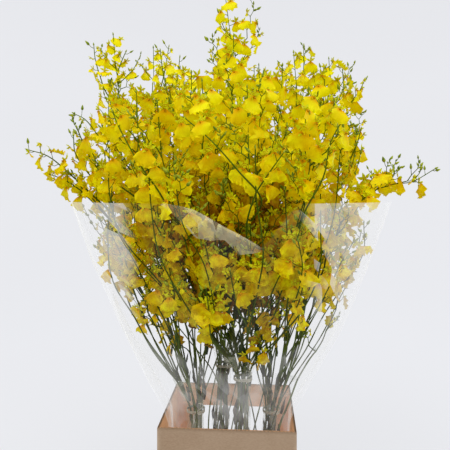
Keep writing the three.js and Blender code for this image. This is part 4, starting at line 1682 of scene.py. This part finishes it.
def build_wrap(name, node, material):
    """Film gathered round one bunch, pleated lengthways and flared at its upper edge."""
    sections = sections_of(node)
    low, high = sections[0][0].z, sections[-1][0].z
    wrap = add_grid(name, WRAP_COLUMNS, WRAP_ROWS)
    for vertex in wrap.data.vertices:
        angle, rise = (vertex.co.x + 0.5) * TAU, vertex.co.y + 0.5
        z = low + rise * (high - low)
        for (below, small), (above, large) in zip(sections, sections[1:]):
            if z <= above.z + 1e-6:
                share = (z - below.z) / (above.z - below.z)
                centre, radius = below.lerp(above, share), small + (large - small) * share
                break
        pleat = 0.8 * math.sin(9 * angle + 7 * rise) + 0.6 * zigzag(angle / TAU * 14 + rise * 1.5)
        slack = 0.2 + abs(rise - 0.6) * 1.6
        radius += pleat * slack * MM
        ragged = 2.5 * math.sin(3 * angle + 1) + 1.5 * math.sin(7 * angle)
        edge = z + ragged * MM * max(0, rise - 0.8) * 5
        vertex.co = ring_point(centre, radius, angle, edge)
    activate(wrap)
    merge_doubles()
    smooth_below(24)
    wrap.data.materials.append(material)
    return wrap


def build_tie(name, node, material):
    """Three turns of elastic, with a loose loop standing out of them."""
    low, high = (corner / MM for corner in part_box(node))
    centre = (low + high) / 2
    ring = (high.x - low.x) / 2 - TIE_INSET
    count = round(TIE_TURNS * TIE_STEPS)
    points = []
    for i in range(count + 1):
        turn = LOOP_ANGLE + i / TIE_STEPS * TAU
        rise = (i / count - 0.5) * TIE_TURNS * TIE_RISE + 0.4 * math.sin(3 * turn)
        points.append(centre + spoke(turn) * ring + UP * rise)
    away = spoke(LOOP_ANGLE)
    aside, loop = away.cross(UP), []
    for i in range(LOOP_STEPS + 1):
        turn = math.pi * i / LOOP_STEPS
        out = away * (ring + LOOP_REACH * math.sin(turn)) + aside * LOOP_WIDTH * math.sin(2 * turn)
        loop.append(centre + out + UP * LOOP_RISE * (1 - math.cos(turn)))
    lines = [(points, [TIE_RADIUS] * len(points)), (loop, [TIE_RADIUS * 0.8] * len(loop))]
    return tube_mesh(name, lines, 1, material)


class ORCHID_OT_build_wraps(bpy.types.Operator):
    """Build the film wrap and the elastic tie of each bunch"""

    bl_idname = "orchid.build_wraps"
    bl_label = "Wraps and ties"

    def execute(self, context):
        look = context.scene.orchid_packing
        film, elastic = wrap_material(look.wrap), elastic_material(look.tie)
        for bunch in BUNCHES:
            wrap_node, tie_node = f"bunch_wrap_{bunch.name}", f"bunch_tie_{bunch.name}"
            wrap = build_wrap(f"wrap_{bunch.name}", wrap_node, film)
            finish_piece(wrap, "clear_film", wrap_node)
            tie = build_tie(f"tie_{bunch.name}", tie_node, elastic)
            finish_piece(tie, "tie_elastic", tie_node)
        return {"FINISHED"}


# ---------------------------------------------------------------- stage
# Places and sizes here are in metres, turns in degrees and the lens in millimetres.
CAMERA_AT, CAMERA_TURN, CAMERA_LENS = (0.0587, -0.960, 0.628), (90, 0, 4.07), 40
CAMERA_SHIFT = -0.073
STAGE_RADIUS, STAGE_HEIGHT, STAGE_FILLET = 2.6, 4.2, 1.1
STAGE_DROP = 0.0005  # the floor lies this far below the carton
SKY_STRENGTH = (0.28, 1.02)  # straight below and straight above
PAINT, PAINT_MOTTLED, PAINT_ABOVE = (
    (0.25, 0.253, 0.264, 1), (0.255, 0.258, 0.269, 1), (0.294, 0.297, 0.31, 1)
)
Lamp = namedtuple("Lamp", "name at aim size power tint")
LAMPS = (
    Lamp("key", (-1.0, -1.3, 2.9), (0, 0, 0.6), 1.8, 18.5, (1, 0.995, 0.98)),
    Lamp("fill", (1.7, -1.3, 1.6), (0, 0, 0.6), 1.5, 9, (0.97, 0.98, 1)),
    Lamp("back", (0.3, 1.7, 2.4), (0, 0, 0.8), 1.4, 6, (1, 1, 1)),
)


def build_backdrop():
    """A white tub: a floor that curves up all round into a wall."""
    bpy.ops.mesh.primitive_circle_add(
        vertices=96, radius=STAGE_RADIUS, fill_type="NGON", location=(0, 0, -STAGE_DROP)
    )
    tub = added("studio_floor")
    edit_by("EDGE")
    pick_edges(tub, lambda edge: edge.is_boundary)
    bpy.ops.mesh.extrude_region_move(TRANSFORM_OT_translate={"value": (0, 0, STAGE_HEIGHT)})
    pick_edges(tub, lambda edge: all(v.co.z < 0.01 for v in edge.verts))
    bpy.ops.mesh.bevel(offset=STAGE_FILLET, segments=16, affect="EDGES")
    bpy.ops.mesh.select_all(action="SELECT")
    bpy.ops.mesh.normals_make_consistent(inside=True)
    leave_edit()
    bpy.ops.object.shade_smooth()
    tub.visible_diffuse = tub.visible_glossy = tub.visible_transmission = tub.visible_shadow = False
    return tub


def paint_material():
    """White paint, a little mottled, that glows as if it were lit evenly."""
    look = Look("studio_white", Roughness=0.9, Specular_IOR_Level=0.1, Emission_Strength=2.1)
    pale = blend(look.patches(0.8, 1.0), PAINT, PAINT_MOTTLED)
    _, _, height = look.place()
    glow = blend(height.spread(-0.3, 1.4), pale, PAINT_ABOVE)
    look.set(Base_Color=pale, Emission_Color=glow)
    return look.material


def soft_sky():
    """White light from all round, stronger from above."""
    world = bpy.data.worlds.new("studio_light")
    world.use_nodes = True
    sky = world.node_tree.nodes["Background"]
    sky.inputs["Color"].default_value = (1.0, 1.0, 1.0, 1)
    _, _, height = axes(world.node_tree, "TexCoord", "Generated")
    feed(sky.inputs["Strength"], height.spread(-1.0, 1.0, *SKY_STRENGTH))
    return world


def add_light(lamp):
    """A round soft light that shines at its aim."""
    data = bpy.data.lights.new(lamp.name, "AREA")
    data.shape, data.size, data.energy, data.color = "DISK", lamp.size, lamp.power, lamp.tint
    light = bpy.data.objects.new(lamp.name, data)
    light.location = lamp.at
    towards = Vector(lamp.aim) - Vector(lamp.at)
    light.rotation_euler = towards.to_track_quat("-Z", "Y").to_euler()
    bpy.context.collection.objects.link(light)


def add_camera():
    camera = bpy.data.objects.new("camera", bpy.data.cameras.new("camera"))
    camera.data.lens = CAMERA_LENS
    camera.data.shift_y = CAMERA_SHIFT
    camera.location = CAMERA_AT
    camera.rotation_euler = [math.radians(angle) for angle in CAMERA_TURN]
    bpy.context.collection.objects.link(camera)
    return camera


class ORCHID_OT_build_stage(bpy.types.Operator):
    """Build the white floor and wall, the soft lights and the camera"""

    bl_idname = "orchid.build_stage"
    bl_label = "Stage"

    def execute(self, context):
        scene = context.scene
        tub = build_backdrop()
        tub.data.materials.append(paint_material())
        scene.world = soft_sky()
        for lamp in LAMPS:
            add_light(lamp)
        scene.camera = add_camera()
        scene.view_settings.view_transform = "Standard"
        return {"FINISHED"}


class ORCHID_PT_panel(bpy.types.Panel):
    """Lists the pieces in the order they are built"""

    bl_idname = "ORCHID_PT_panel"
    bl_label = "Orchid Bunch"
    bl_space_type = "VIEW_3D"
    bl_region_type = "UI"
    bl_category = "Orchid Bunch"

    def draw(self, context):
        for operator in STEPS:
            self.layout.operator(operator.bl_idname)


STEPS = (
    ORCHID_OT_build_carton, ORCHID_OT_build_sprays, ORCHID_OT_build_wraps,
    ORCHID_OT_build_sleeve, ORCHID_OT_build_stage,
)
CLASSES = (OrchidSizes, OrchidColours, PackingLook, *STEPS, ORCHID_PT_panel)


def register():
    for one in CLASSES:
        bpy.utils.register_class(one)
    bpy.types.Scene.orchid_sizes = PointerProperty(type=OrchidSizes)
    bpy.types.Scene.orchid_colours = PointerProperty(type=OrchidColours)
    bpy.types.Scene.orchid_packing = PointerProperty(type=PackingLook)


def unregister():
    for name in ("orchid_sizes", "orchid_colours", "orchid_packing"):
        delattr(bpy.types.Scene, name)
    for one in reversed(CLASSES):
        bpy.utils.unregister_class(one)


def main():
    register()
    make_groups()
    for operator in STEPS:
        group, name = operator.bl_idname.split(".")
        getattr(getattr(bpy.ops, group), name)()


if __name__ == "__main__":
    main()
